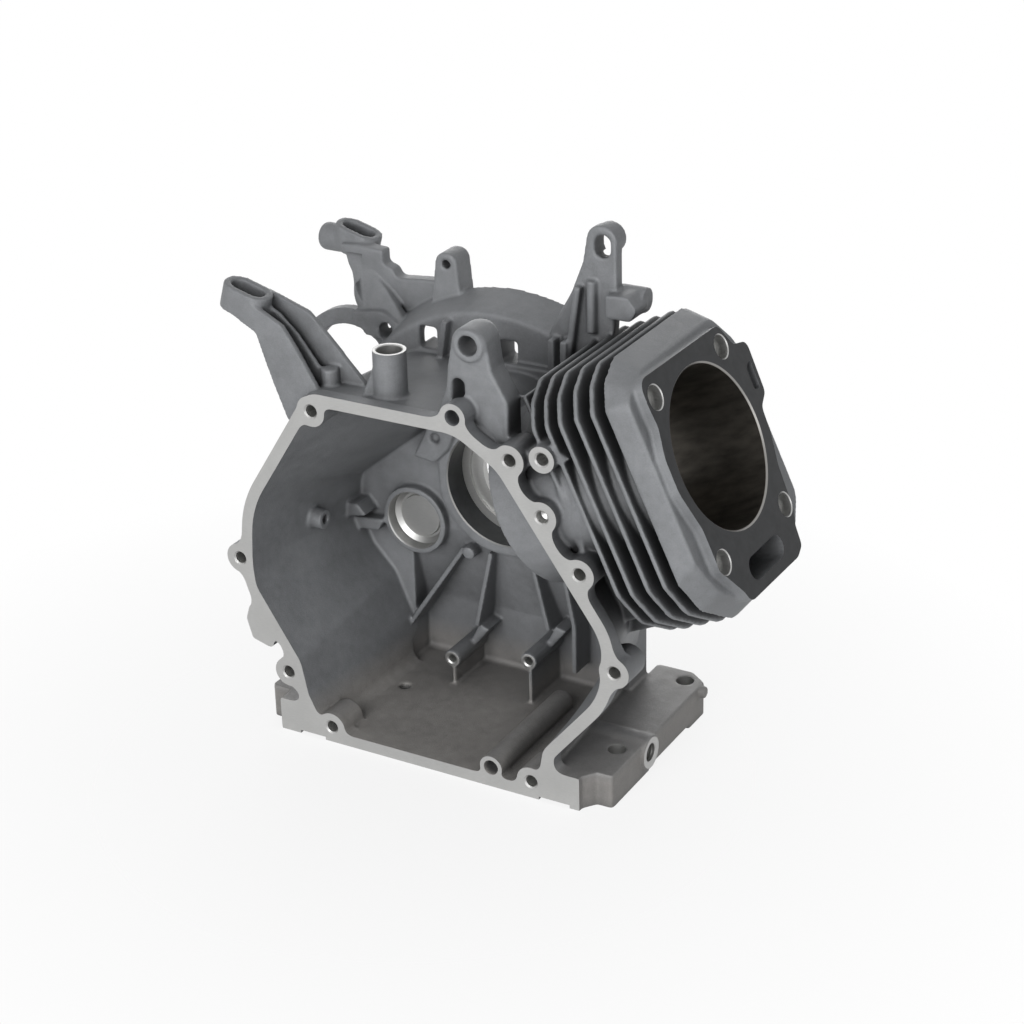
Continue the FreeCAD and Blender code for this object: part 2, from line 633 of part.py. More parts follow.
def sloped(solid, y):
    solid.Placement = Placement(Vector(0, 0, 0), Rotation(Vector(0, 1, 0), size("tank_tilt")))
    bind(solid, {"Placement.Base.x": "Sizes.tank_x", "Placement.Base.y": y})
    bind(solid, {"Placement.Base.z": "Sizes.tank_z", "Placement.Rotation.Angle": "Sizes.tank_tilt"})
    return solid


def front_arm():
    """The channel that carries the front tank seat."""
    x = size("tank_x")
    z = size("tank_z")
    outer = [(x - 10, z - 9), (x - 7.7, z - 13), (x + 8.6, z - 22), (x + 17, top_z + 7),
             (x + 25.4, top_z - 14)]
    front_plate = [(a, b, 1) for a, b in outer] + [
        (-76, 46, 0), (-60, 62, 0), (-58, top_z + 3, 0), (-62.6, top_z + 5.2, 2), (x + 34.4, top_z + 26.4, 3),
        (x + 26, z - 15, 4), (x + 5, z - 4.4, 1),
    ]
    rear_plate = [(a, b, 0) for a, b in outer[1:]] + [
        (-60, top_z - 16, 0), (-44, top_z - 2, 0), (-44, top_z + 6.4, 0), (x + 37.3, z - 16.4, 3),
        (x + 32, z - 11.5, 3), (x + 6, z - 3, 0), (x - 4, z - 8, 0),
    ]
    web = [(a, b, 0) for a, b in outer] + [
        (x + 30, top_z - 11, 0), (x + 21.4, top_z + 8.5, 0), (x + 12.4, z - 18.5, 0), (x - 4, z - 9, 0),
    ]
    middle = [(x + 5, z - 6, 0), (x + 7, z - 20, 0), (x + 17, top_z + 16, 0), (x + 26, top_z - 6, 0),
              (-62, top_z - 3, 0), (-62, top_z + 6, 0), (x + 29, z - 23, 6), (x + 18, z - 13, 6)]
    front = "Sizes.tank_front - Sizes.tank_seat_radius"
    rear = "Sizes.tank_front + Sizes.tank_seat_radius"
    return [
        tank_seat("front_seat", "Sizes.tank_front"),
        plate("front_arm_front_plate", "front", front_plate, front, "Sizes.arm_plate"),
        plate("front_arm_rear_plate", "front", rear_plate, f"{rear} - 1", "Sizes.arm_plate"),
        plate("front_arm_web", "front", web, front, f"{rear} - ({front}) + Sizes.arm_plate - 1"),
        plate("front_arm_rib", "front", middle, "Sizes.tank_front + 1.5", "Sizes.arm_plate - 1"),
        cylinder("front_arm_stub", "5", "18", "-62.5", "Sizes.tank_front + 3.5", str(top_z - 4), "z"),
    ]


def rear_arm():
    """The arm behind, with a leaning front plate, a back plate along the fan rim and a round stub."""
    x = size("tank_x")
    z = size("tank_z")
    face = size("tank_front") + size("tank_spacing") - size("tank_seat_radius")
    thick = size("arm_plate") + 1
    ring = size("starter_face")
    left = [(x - 9, z - 4), (x - 2.5, z - 11), (x + 4.2, z - 21), (x + 6.3, z - 26), (x + 7.5, z - 32),
            (x + 11.5, z - 40)]
    outline = [(a, b, 0) for a, b in left] + [
        (x + 18, z - 52, 0), (x + 47.5, z - 54, 0), (x + 47.5, z - 51, 0), (x + 40, z - 39, 4),
        (x + 27.5, z - 27, 6), (x + 18, z - 20, 4), (x + 7, z - 13, 3), (x + 7, z - 6, 0),
    ]
    section = [(face + 0.5, z - 5, 0), (ring + 2, z - 44, 0), (ring - 6, z - 58, 0),
               (ring - 6 + thick, z - 62, 0), (ring + 4 + thick, z - 45, 0), (face + thick, z - 5, 0)]
    leaning_plate = doc.addObject("Part::Common", "rear_arm_front_plate")
    leaning_plate.Base = plate("rear_arm_outline", "front", outline, "Sizes.starter_face - 12", "40")
    leaning_plate.Tool = plate("rear_arm_section", "side", section, "Sizes.tank_x - 20", "80")
    back = [
        (x + 9, z - 5, 0), (x - 6, z - 6, 0), (x - 1, z - 14, 0), (x + 6, z - 28, 0), (x + 14, z - 46, 0),
        (x + 30, z - 50, 0), (-60, 92, 0), (-52, 96, 0), (-48, 110, 0), (-60, 109, 2), (x + 33, z - 20.9, 4),
        (x + 30, z - 16, 3), (x + 24, z - 14, 2), (x + 24, z - 6, 1),
    ]
    band = [(a, b, 0) for a, b in left[1:]] + [
        (x + 17, z - 40, 0), (x + 12, z - 31, 0), (x + 10.5, z - 26, 0), (x + 8.5, z - 20, 0),
        (x + 3, z - 11, 0),
    ]
    rear = "Sizes.fan_rim_end + Sizes.arm_plate + 4.5"
    return [
        tank_seat("rear_seat", "Sizes.tank_front + Sizes.tank_spacing"),
        leaning_plate,
        plate("rear_arm_back_plate", "front", back, "Sizes.fan_rim_end - 1", "Sizes.arm_plate + 5.5"),
        plate("rear_arm_side_band", "front", band, "Sizes.starter_face + 4",
              f"{rear} - Sizes.starter_face - 4"),
        cylinder("rear_arm_stub", "Sizes.stub_radius", "14", "Sizes.tank_x - 14.5",
                 "Sizes.tank_front + Sizes.tank_spacing", "Sizes.tank_z - 8.5", "x"),
    ]


def lugs():
    """Lifting and bracket lugs on the rim, the tall lug and the eye lug."""
    rim_lug_x, rim_lug_z = RIM_LUG
    rim_lug = [
        (rim_lug_x - 10.4, rim_lug_z - 25, 0), (rim_lug_x + 9.6, rim_lug_z - 25, 0),
        (rim_lug_x + 6.5, rim_lug_z + 6.5, 6.4), (rim_lug_x - 6.5, rim_lug_z + 6.5, 6.4),
    ]
    x = size("tall_lug_x")
    z = size("tall_slot_z")
    top = size("tall_lug_top")
    tall = [
        (x - 32, top_z + 12, 0), (x + 5, top_z + 12, 0), (x + 8.6, z - 24, 4), (x + 8.4, top, 8.3),
        (x - 8.5, top, 8.3), (x - 12, z - 10, 10), (x - 19, z - 28, 14), (x - 32, z - 51, 0),
    ]
    block = [(x + 5, z - 37, 2), (x + 19.6, z - 37, 3), (x + 24, z - 30, 3), (x + 18, z - 23, 3),
             (x + 5, z - 24, 0)]
    eye_x = size("eye_x")
    eye_z = size("eye_z")
    r = size("eye_radius")
    eye = [
        (eye_x - 24, top_z - 4, 0), (eye_x - 15, top_z + 19.5, 6), (eye_x - 13.5, eye_z - 13, 6),
        (eye_x - r, eye_z + r, r - 0.1), (eye_x + r, eye_z + r, r - 0.1), (eye_x + r + 3.5, eye_z - 13, 8),
        (eye_x + 22, top_z + 17, 4), (eye_x + 22, top_z - 8, 0),
    ]
    return [
        plate("rim_lug", "front", rim_lug, "Sizes.fan_rim_end - 7", "Sizes.lug_thickness + 3.5"),
        plate("tall_lug", "front", tall, "Sizes.fan_wall_front", "Sizes.lug_thickness - 5.3"),
        cylinder("tall_lug_knob", "8.6", "Sizes.lug_thickness", "Sizes.tall_lug_x", "Sizes.fan_wall_front",
                 "Sizes.tall_lug_top - 8.6"),
        plate("tall_lug_block", "front", block, "Sizes.fan_wall_front - 7", "Sizes.lug_thickness + 3"),
        cylinder("tall_lug_stub", "Sizes.stub_radius", "17", "Sizes.tall_lug_x + 5",
                 "Sizes.fan_wall_front + 10", "Sizes.tall_slot_z - 29.5", "x"),
        cylinder("tall_lug_pin", "3", "Sizes.tall_slot_z - 125", "Sizes.tall_lug_x - 5.8",
                 "Sizes.fan_wall_front - 1", "106", "z"),
        rib("tall_lug_rib", (x - 13, z - 23), (x - 20, top_z + 8), 4, "Sizes.fan_wall_front - 5", "8"),
        plate("eye_lug", "front", eye, "Sizes.eye_front", "Sizes.eye_thickness - 2"),
        cylinder("eye_collar", "Sizes.eye_radius", "Sizes.eye_thickness + 2", "Sizes.eye_x",
                 "Sizes.eye_front - 2", "Sizes.eye_z"),
        cylinder("governor_boss", "Sizes.governor_boss / 2", "Sizes.governor_top - Sizes.cavity_top",
                 "Sizes.governor_x", "Sizes.governor_y", "Sizes.cavity_top", "z"),
        governor_gusset(),
    ]


def governor_gusset():
    """The rib that props the governor boss on the roof."""
    x = -size("governor_boss") / 2
    foot = size("cavity_top") + 2
    head = size("governor_top") - 8
    gusset = [(x + 3, foot, 0), (x - 7, foot, 0), (x + 1, head, 0), (x + 3, head, 0)]
    web = plate("governor_gusset", "front", gusset, "-Sizes.rib / 2", "Sizes.rib")
    web.Placement = Placement(Vector(0, 0, 0), Rotation(Vector(0, 0, 1), 25))
    bind(web, {"Placement.Base.x": "Sizes.governor_x", "Placement.Base.y": "Sizes.governor_y"})
    return web


def skirt():
    """The lower end of the barrel, which reaches into the cavity round the liner."""
    tube = doc.addObject("Part::Cylinder", "cylinder_skirt")
    tube.Placement = Placement(Vector(0, 0, 0), Rotation(Vector(0, 1, 0), 90 - size("cylinder_tilt")))
    bind(tube, {
        "Radius": "Sizes.bore / 2 + Sizes.liner_wall + Sizes.barrel_wall - 1",
        "Height": "Sizes.skirt_length",
        "Placement.Rotation.Angle": "90 - Sizes.cylinder_tilt",
        "Placement.Base.x": "Sizes.liner_start * cos(Sizes.cylinder_tilt)",
        "Placement.Base.y": "Sizes.cylinder_offset",
        "Placement.Base.z": "Sizes.liner_start * sin(Sizes.cylinder_tilt)",
    })
    return tube


def back_ribs():
    """Ribs on the end wall below the bearings, which end inside the wall where it slopes back."""
    ridge = size("cavity_depth") - 4
    bars = []
    for index, (first, last) in enumerate(BACK_RIBS):
        bars.append(rib(f"back_rib_{index + 1}", first, last, size("rib") - 1, "Sizes.cavity_depth - 4",
                        "Sizes.sump_depth + Sizes.end_wall - Sizes.cavity_depth"))
    within = [(ridge, floor_z - 1, 0), (sump_rear - 2, floor_z - 1, 0), (sump_rear - 2, floor_z + 48, 14),
              (wall_rear - 2.5, floor_z + 96, 10), (ridge, floor_z + 100, 0)]
    ribs = doc.addObject("Part::Common", "back_ribs")
    ribs.Base = fused("back_rib_bars", bars)
    ribs.Tool = plate("back_rib_reach", "side", within, "-Sizes.sump_half_width", "2 * Sizes.sump_half_width")
    return ribs


def inside():
    """Bosses, bearing rings and ribs that stand in the cavity."""
    depth = "Sizes.sump_depth"
    ring_back = "Sizes.cavity_depth + 2 - Sizes.bearing_face"
    pieces = [
        cylinder("main_ring", "Sizes.main_ring", ring_back, "0", "Sizes.bearing_face", "0"),
        cylinder("balancer_ring", "Sizes.balancer_ring", ring_back, "Sizes.balancer_x", "Sizes.bearing_face",
                 "Sizes.balancer_z"),
    ]
    for label, (x, z) in COVER_SCREWS.items():
        pieces.append(cylinder("boss_" + label, "Sizes.cover_boss_radius", "Sizes.cover_boss_length",
                               str(x), "0", str(z)))
    upper = DOWELS["upper"]
    lower = DOWELS["lower"]
    pieces.append(cylinder("boss_dowel_upper", "Sizes.cover_boss_radius - 1", "Sizes.cover_boss_length",
                           str(upper[0]), "0", str(upper[1])))
    pieces.append(cylinder("boss_dowel_lower", "Sizes.cover_boss_radius - 1.8", f"{depth} - 30",
                           str(lower[0]), "0", str(lower[1])))
    for label, (x, z) in LONG_BOSSES.items():
        length = f"{depth} + 1 - Sizes.long_boss_face"
        pieces.append(cylinder("long_boss_" + label, "Sizes.long_boss / 2", length,
                               str(x), "Sizes.long_boss_face", str(z)))
        pieces.append(rib("long_boss_foot_" + label, (x + 1, z), (x + 1, floor_z - 1), 2.4,
                          "Sizes.long_boss_face", length))
        web = [(x, z, 0), (x + 4, z, 0), (x + 15, z + 14, 0), (x + 8, z + 16, 0)]
        pieces.append(plate("long_boss_web_" + label, "front", web, "Sizes.cavity_depth - 2",
                            f"{depth} + 3 - Sizes.cavity_depth"))
    pieces.append(back_ribs())
    pieces.append(cylinder("back_stub", "4", "12", "-23.5", "Sizes.cavity_depth - 7", "-46"))
    pieces.append(cylinder("left_wall_boss", "6", "9", "-104", "55", "-23", "x"))
    pad = [(-57, 10, 1), (-43, 8, 0), (-33.5, 18, 0), (-26, 36, 0), (-44, 36, 2)]
    pieces.append(plate("back_pad", "front", pad, "Sizes.cavity_depth - 9", "11"))
    step_low = [(-104, -46, 1), (-84, -44, 1), (-80, -36, 1), (-104, -38, 1)]
    step_high = [(-104, -36, 1), (-88, -33, 1), (-94, -26, 1), (-104, -27, 1)]
    pieces.append(plate("left_step_low", "front", step_low, "Sizes.cavity_depth - 8", "10"))
    pieces.append(plate("left_step_high", "front", step_high, "Sizes.cavity_depth - 14", "16"))
    return pieces


def hollow():
    """The crank chamber with its deeper part behind the sump."""
    depth = size("cavity_depth")
    low = size("sump_depth")
    sump = [(depth - 6, floor_z, 0), (low, floor_z, 3), (low, floor_z + 38, 14), (depth, floor_z + 90, 0),
            (depth - 6, floor_z + 90, 0)]
    half = size("sump_half_width") - size("case_wall")
    return [
        lofted("cavity", CAVITY, CAVITY_REAR, "0", "Sizes.cavity_depth"),
        plate("cavity_sump", "side", sump, str(-half + 8), str(2 * half - 14)),
    ]


def threaded(name, x, z, drill, depth, start="0"):
    """A drilled hole from the front with its countersink."""
    return [
        cylinder(name, drill + " / 2", depth, str(x), start, str(z)),
        cone(name + "_countersink", f"{drill} / 2 + Sizes.countersink", drill + " / 2", "Sizes.countersink",
             str(x), start, str(z)),
    ]


def holes():
    """Every bore, hole, slot and window."""
    tools = []
    for label, (x, z) in COVER_SCREWS.items():
        depth = "Sizes.shallow_drill_depth" if label == "middle_right" else "Sizes.cover_drill_depth"
        tools += threaded("screw_" + label, x, z, "Sizes.cover_drill", depth)
    for label, (x, z) in DOWELS.items():
        tools += threaded("dowel_" + label, x, z, "Sizes.dowel_bore", "Sizes.dowel_depth")
    tools += threaded("side_boss_hole", *SIDE_BOSS, "Sizes.cover_drill", "Sizes.side_boss_drill_depth")
    for label, (x, z) in LONG_BOSSES.items():
        tools += threaded("long_boss_hole_" + label, x, z, "Sizes.long_boss_drill",
                          "Sizes.long_boss_drill_depth", "Sizes.long_boss_face")
    face = "Sizes.bearing_face"
    seat_end = "Sizes.bearing_face + Sizes.main_bearing_width"
    tools += [
        cylinder("main_bore", "Sizes.main_bearing / 2", "Sizes.main_bearing_width + 6", "0",
                 face + " - 6", "0"),
        cylinder("shoulder_bore", "Sizes.shoulder_bore / 2", "Sizes.shoulder_width + 1", "0",
                 seat_end + " - 1", "0"),
        cylinder("shaft_bore", "Sizes.shaft_clearance / 2", "40", "0", face, "0"),
        cylinder("seal_seat", "Sizes.seal_bore / 2", "Sizes.seal_depth + 1", "0",
                 "Sizes.hub_end - Sizes.seal_depth", "0"),
        cylinder("balancer_pocket", "Sizes.balancer_bearing / 2", "Sizes.balancer_depth + 4",
                 "Sizes.balancer_x", face + " - 4", "Sizes.balancer_z"),
        cylinder("pad_dimple", "3", "4", "-42", "Sizes.cavity_depth - 10", "24"),
        cylinder("starter_opening", "Sizes.starter_bore / 2", "40", "Sizes.starter_x",
                 "Sizes.starter_face - 14", "Sizes.starter_z"),
        cylinder("governor_seal", "Sizes.governor_bore / 2", "14", "Sizes.governor_x", "Sizes.governor_y",
                 "Sizes.governor_top - 12", "z"),
        cylinder("governor_shaft_hole", "Sizes.governor_shaft / 2", "60", "Sizes.governor_x",
                 "Sizes.governor_y", "Sizes.governor_top - 50", "z"),
        cylinder("eye_opening", "Sizes.eye_hole / 2", "Sizes.eye_thickness + 6", "Sizes.eye_x",
                 "Sizes.eye_front - 4", "Sizes.eye_z"),
        cylinder("drain_hole", "Sizes.drain_bore / 2", "60", "Sizes.base_right - 50", "Sizes.drain_y",
                 "Sizes.drain_height - Sizes.crank_height", "x"),
        cylinder("rim_lug_hole", "2.5", "30", str(RIM_LUG[0]), "Sizes.fan_rim_end - 12", str(RIM_LUG[1])),
        cylinder("left_wall_hole", "2.6", "12", "-104", "55", "-23", "x"),
    ]
    screw_x, screw_z = STARTER_SCREW
    for sign in (1, -1):
        label = "upper" if sign > 0 else "lower"
        tools.append(cylinder(f"starter_screw_{label}", "Sizes.starter_hole / 2", "Sizes.starter_drill",
                              f"Sizes.starter_x + {sign * screw_x}", "Sizes.starter_face - 5",
                              f"Sizes.starter_z + {sign * screw_z}"))
    for index, (x, z) in enumerate(WINDOWS):
        tools.append(box(f"window_{index + 1}", "Sizes.window_width", "Sizes.fan_wall + 30",
                         "Sizes.window_height", f"{x} - Sizes.window_width / 2",
                         "Sizes.fan_wall_front - 2", f"{z} - Sizes.window_height / 2"))
    underside = "-Sizes.crank_height"
    for across in (0, 1):
        for along in (0, 1):
            tools.append(cylinder(
                f"mount_hole_{2 * across + along + 1}", "Sizes.mount_hole / 2", "Sizes.base_thickness + 10",
                f"Sizes.mount_right - {across} * Sizes.mount_width",
                f"Sizes.mount_front + {along} * Sizes.mount_length", underside + " - 2", "z"))
    relief = [(-66, 8, 4), (66, 8, 4), (66, 56, 4), (140, 56, 0), (140, 106, 0), (66, 106, 4), (66, 150, 0),
              (-66, 150, 0), (-66, 106, 4), (-140, 106, 0), (-140, 56, 0), (-66, 56, 4)]
    tools.append(plate("foot_relief_cut", "flat", relief, underside + " - 5", "Sizes.foot_relief + 5"))
    for label, y in (("front", "Sizes.tank_front"), ("rear", "Sizes.tank_front + Sizes.tank_spacing")):
        tools.append(sloped(slot(f"{label}_tank_slot", size("tank_slot_width") / 2, size("tank_slot_travel"),
                                 "-Sizes.tank_seat_height - 1", "Sizes.tank_seat_height + 3"), y))
    tall = slot("tall_lug_slot", size("tall_slot_width") / 2, 3.2, "0", "Sizes.lug_thickness + 6", "front")
    tall.Placement = Placement(Vector(0, 0, 0), Rotation(Vector(0, 1, 0), 90))
    bind(tall, {"Placement.Base.x": "Sizes.tall_lug_x", "Placement.Base.y": "Sizes.fan_wall_front - 3",
                "Placement.Base.z": "Sizes.tall_slot_z"})
    eye_x = size("eye_x")
    pocket = [(eye_x - 11, top_z + 11, 3.4), (eye_x - 3.8, top_z + 11, 3.4), (eye_x - 3.8, top_z + 26, 3.4),
              (eye_x - 11, top_z + 26, 3.4)]
    tools.append(tall)
    tools.append(plate("eye_lug_pocket", "front", pocket, "Sizes.eye_front - 1", "Sizes.eye_thickness - 3"))
    tools.append(cylinder("oil_return", "3.2", "30", "-52", "64", str(base_z + 2), "z"))
    return tools + [cylinder_holes()]


def cylinder_holes():
    """The liner seat, head bolt holes and the pushrod passage."""
    bore = "Sizes.bore / 2 + Sizes.liner_wall"
    deck = "Sizes.deck_height"
    pieces = [round_along("liner_seat", bore, "Sizes.liner_start", f"{deck} + 5")]
    bolts = [("Sizes.head_bolt_upper", "upper"), ("-Sizes.head_bolt_lower", "lower")]
    for height, label in bolts:
        for sign, side in (("-", "front"), ("", "rear")):
            y = f"{sign}Sizes.head_bolt_y"
            name = f"head_bolt_{label}_{side}"
            pieces.append(round_along(name, "Sizes.head_bolt_drill / 2", f"{deck} - Sizes.head_bolt_depth",
                                      f"{deck} + 1", y, height))
            pieces.append(round_along(name + "_counterbore", "Sizes.head_dowel / 2",
                                      f"{deck} - Sizes.head_dowel_depth", f"{deck} + 1", y, height))
    half = size("pushrod_width") / 2
    long = size("pushrod_length") / 2
    middle = -size("pushrod_height")
    passage = [(a + 1, middle + b, half * 0.9999) for a, b in
               ((-long, -half), (long, -half), (long, half), (-long, half))]
    pieces.append(along_cylinder("pushrod_passage", passage, "Sizes.liner_start + 12",
                                 "Sizes.deck_height - Sizes.liner_start"))
    rear = size("head_bolt_y") + 15.5
    recess = [(rear, 11, 1), (rear + 6.5, 11, 1), (rear + 6.5, 27, 1), (rear, 24, 1)]
    pieces.append(along_cylinder("deck_recess", recess, f"{deck} - 5", "10"))
    return leaning(fused("cylinder_holes", pieces))


def crankcase():
    shell = joined("shell", [
        fused("case", case()), fused("base", base()), fused("fan_side", fan_side()), cylinder_outside(),
        fused("front_arm", front_arm()), fused("rear_arm", rear_arm()), fused("lugs", lugs()),
    ])
    hollowed = cut("hollowed_shell", shell, fused("crank_chamber", hollow()))
    furnished = joined("furnished_shell", [hollowed, skirt(), fused("inner_bosses", inside())])
    casting = cut("crankcase", furnished, fused("openings", holes()))
    casting.Label = "crankcase"
    return casting


def cylinder_liner():
    """The iron sleeve cast into the cylinder, flush with the deck, with a small bevel at its mouth."""
    deck = "Sizes.deck_height"
    outside = round_along("liner_outside", "Sizes.bore / 2 + Sizes.liner_wall", "Sizes.liner_start", deck)
    bore = round_along("liner_bore", "Sizes.bore / 2", "Sizes.liner_start - 5", f"{deck} + 5")
    mouth = cone("liner_mouth", "Sizes.bore / 2", "Sizes.bore / 2 + Sizes.countersink", "Sizes.countersink",
                 f"{deck} - Sizes.countersink", "Sizes.cylinder_offset", "0", "x")
    liner = leaning(cut("cylinder_liner", outside, fused("liner_opening", [bore, mouth])))
    liner.Label = "cylinder_liner"
    return liner


def main():
    parts = [crankcase(), cylinder_liner()]
    doc.recompute()
    for item in doc.Objects:
        faults = [state for state in item.State if state in ("Invalid", "Error")]
        if faults:
            raise RuntimeError(f"{item.Name} is {faults}")
    for part in parts:
        if part.Shape.isNull() or not part.Shape.isValid():
            raise RuntimeError(f"{part.Label} has no valid shape")
    os.makedirs("parts", exist_ok=True)
    for part in parts:
        part.Shape.exportStep(f"parts/{part.Label}.step")
        volume = round(part.Shape.Volume / 1000, 1)
        print(part.Label, len(part.Shape.Solids), "solids", volume, "cm3", part.Shape.BoundBox)


main()
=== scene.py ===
"""Looks of the crankcase: cast and machined aluminium, a honed iron liner and threads in the tapped holes."""
import json
import math

import bmesh
import bpy
from mathutils import Matrix, Vector


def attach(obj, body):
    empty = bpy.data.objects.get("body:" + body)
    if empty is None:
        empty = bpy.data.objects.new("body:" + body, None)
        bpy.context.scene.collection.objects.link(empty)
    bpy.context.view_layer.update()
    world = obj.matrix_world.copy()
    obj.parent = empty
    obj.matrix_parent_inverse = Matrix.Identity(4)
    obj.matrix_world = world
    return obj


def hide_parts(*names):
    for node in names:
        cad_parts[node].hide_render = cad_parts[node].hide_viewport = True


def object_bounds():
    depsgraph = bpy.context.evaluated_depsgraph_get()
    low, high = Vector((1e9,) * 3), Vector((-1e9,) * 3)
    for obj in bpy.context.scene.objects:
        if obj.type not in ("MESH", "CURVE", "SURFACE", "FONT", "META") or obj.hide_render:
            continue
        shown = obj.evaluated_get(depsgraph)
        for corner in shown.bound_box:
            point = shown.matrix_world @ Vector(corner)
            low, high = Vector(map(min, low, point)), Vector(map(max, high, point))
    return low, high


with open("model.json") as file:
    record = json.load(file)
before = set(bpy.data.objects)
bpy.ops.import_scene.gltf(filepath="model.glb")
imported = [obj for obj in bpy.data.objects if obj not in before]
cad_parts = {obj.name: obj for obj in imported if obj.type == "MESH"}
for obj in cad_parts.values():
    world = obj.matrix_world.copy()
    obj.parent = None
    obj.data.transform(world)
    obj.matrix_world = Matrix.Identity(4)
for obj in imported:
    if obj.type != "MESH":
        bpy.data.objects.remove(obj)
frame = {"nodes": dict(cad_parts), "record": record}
cad_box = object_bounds()

MM = 0.001
MOUNTS = {mount["name"]: mount for mount in frame["record"]["mounts"]}

# The cylinder leans up from the base. Its long direction runs from the crank axis to the deck.
TILT = math.radians(25)
CYLINDER_AXIS = Vector((math.cos(TILT), 0, math.sin(TILT)))
CYLINDER_UP = Vector((-math.sin(TILT), 0, math.cos(TILT)))

# Faces of the casting that tapped holes open in, in millimetres.
DECK = 167.6
SUMP_BOSS_FACE = 79.5
DRAIN_FACE = 114.7

# Faces of the casting in metres: the deck, the end wall that the bearing seats open in, the governor boss.
DECK_HEIGHT = DECK * MM
END_WALL = 94 * MM
GOVERNOR_TOP = 105.5 * MM

# Tapped holes, in millimetres: the pitch by the radius of the drill, the longest thread, and the counterbore.
PITCHES = {2.5: 1.0, 3.4: 1.25, 4.25: 1.5, 5.25: 1.75}
LONGEST_THREAD = 18
COUNTERBORE = 6.5
COUNTERBORE_DEPTH = 7

# Tapped holes, in metres. The drill's point is a share of its radius. The drain's plug ends with the metal.
COUNTERBORE_CHAMFER = 0.5 * MM
COUNTERSINK = 0.9 * MM
THREAD_STEPS = 20
THREAD_DEPTH = 0.3 * MM
DRILL_POINT = 0.55
DRILL_TIP = 0.02 * MM
DRAIN_METAL = 42 * MM

# Bosses that are faced round their hole: the radius of the facing, and how deep it is cut.
FACED = {"oil_drain": 10.5 * MM, "sump_boss_screw_left": 6.6 * MM, "sump_boss_screw_right": 6.6 * MM}
FACING_CUT = 0.3 * MM

# Turned seats, in millimetres: (depth, radius) from the mouth inward, and the depths that lie in the metal.
# The liner's are distances from the crank axis, and the base holes' are heights above the base.
MAIN_SEAT = [(-4, 36.7), (0, 36.7), (0.7, 36), (17, 36), (17, 31), (19, 31), (19, 23), (20.5, 23),
             (20.5, 26), (27.9, 26), (28.5, 26.6), (32, 26.6)], (0, 28)
BALANCER_SEAT = [(-4, 18.1), (0, 18.1), (0.6, 17.5), (7.5, 17.5), (9.5, 14.6), (9.5, 13.2),
                 (7.8, 12.6)], (0, 11)
LINER_SEAT = [(50, 47.48), (172, 47.48)], (55, 170)
GOVERNOR_SEAT = [(-3, 7.5), (0, 7.5), (0.5, 7), (12, 7), (12, 4.1), (50, 4.1)], (-1.9, 28)
BASE_HOLE_DEPTHS = (-3, 26)
BASE_HOLE_SPAN = (-1.9, 19)

# The wall of the main bearing seat, whose dark reflection is painted in: its depths behind the end wall's
# face, and radii on both sides of it.
MAIN_WALL_DEPTH = (0.8 * MM, 16.9 * MM)
MAIN_WALL_RADIUS = (34 * MM, 37 * MM)

# The round stub on the rear tank arm: where it ends, its height, and (distance, radius) in millimetres.
STUB_END = -0.135
STUB_HEIGHT = 0.1206
STUB = [(0, 6.2), (1.2, 7.6), (3, 8.2), (13.5, 8.2)]

# What is cut from the side band of the rear tank arm: an outline of (y, z), and its span along minus X.
BAND_CUT = [(0.117, 0.1185), (0.1168, 0.1182), (0.1024, 0.0843), (0.098, 0.078), (0.098, 0.1185)]
BAND_CUT_SPAN = (0.1, 0.125)

# Shallow steps between the feet: their spans along X, and their depth.
FOOT_STEPS = ((-0.083, -0.066), (0.073, 0.092))
FOOT_STEP_DEPTH = 1.9 * MM

# The rounding of the casting: welding and voxels, smoothing, triangles kept, and the angle of a sharp edge.
WELD = 0.001 * MM
VOXEL = 0.85 * MM
ROUNDING = 0.5
ROUNDING_STEPS = 8
MOST_TRIANGLES = 170000
SHARP_ANGLE = math.radians(32)

# What fills a machined place while the casting is rounded: a slab's overlap, and where a plug starts, its
# spare radius and its least length.
OVERLAP = 2 * MM
PLUG_START = -0.95 * OVERLAP
PLUG_SPARE = 0.2 * MM
SHORTEST_PLUG = 0.1 * MM

# The hollows between the gasket rim and its bosses: the flange's depth, how far a hollow reaches along the
# outer and the inner edge, the steps of its curve, and how sharp a corner gets one.
FLANGE = 9 * MM
NECK = 9 * MM
INNER_NECK = 6 * MM
NECK_CURVE = (0.85, 0.7, 0.55, 0.4, 0.27, 0.13)
CONCAVE = -0.3

# What counts as facing one way, and as lying in one plane.
ALIGNED = 0.999
FLAT = 0.02 * MM

# Boxes that cut faces flat: how far they reach beyond a face, past the rear and past every side, and the low
# and high corners of the two smaller ones.
BEYOND = 0.01
PAST_REAR = 0.16
FAR = 0.3
DECK_LOW, DECK_HIGH = (-0.05, -0.12), (PAST_REAR, 0.12)
GOVERNOR_LOW, GOVERNOR_HIGH = (-0.037, 0.0105), (-0.013, 0.0345)
SHALLOW = 0.006

# Sides of a turned solid: plugs and the stub, drills, and seats.
SIDES = 48
DRILL_SIDES = 40
SEAT_SIDES = 96

# Material slots of the casting: its skin, its machined faces, and those of them with a painted dark
# reflection.
CAST, MACHINED, PAINTED_DARK = range(3)

# The studio: the world's light on the object, the floor's own white where it is looked at, half the floor's
# width, and how far from the middle it is solid and gone.
AMBIENT = 0.16
FLOOR_GLOW = 0.82
FLOOR_REACH = 4.0
FLOOR_SOLID = 0.13
FLOOR_GONE = 0.42


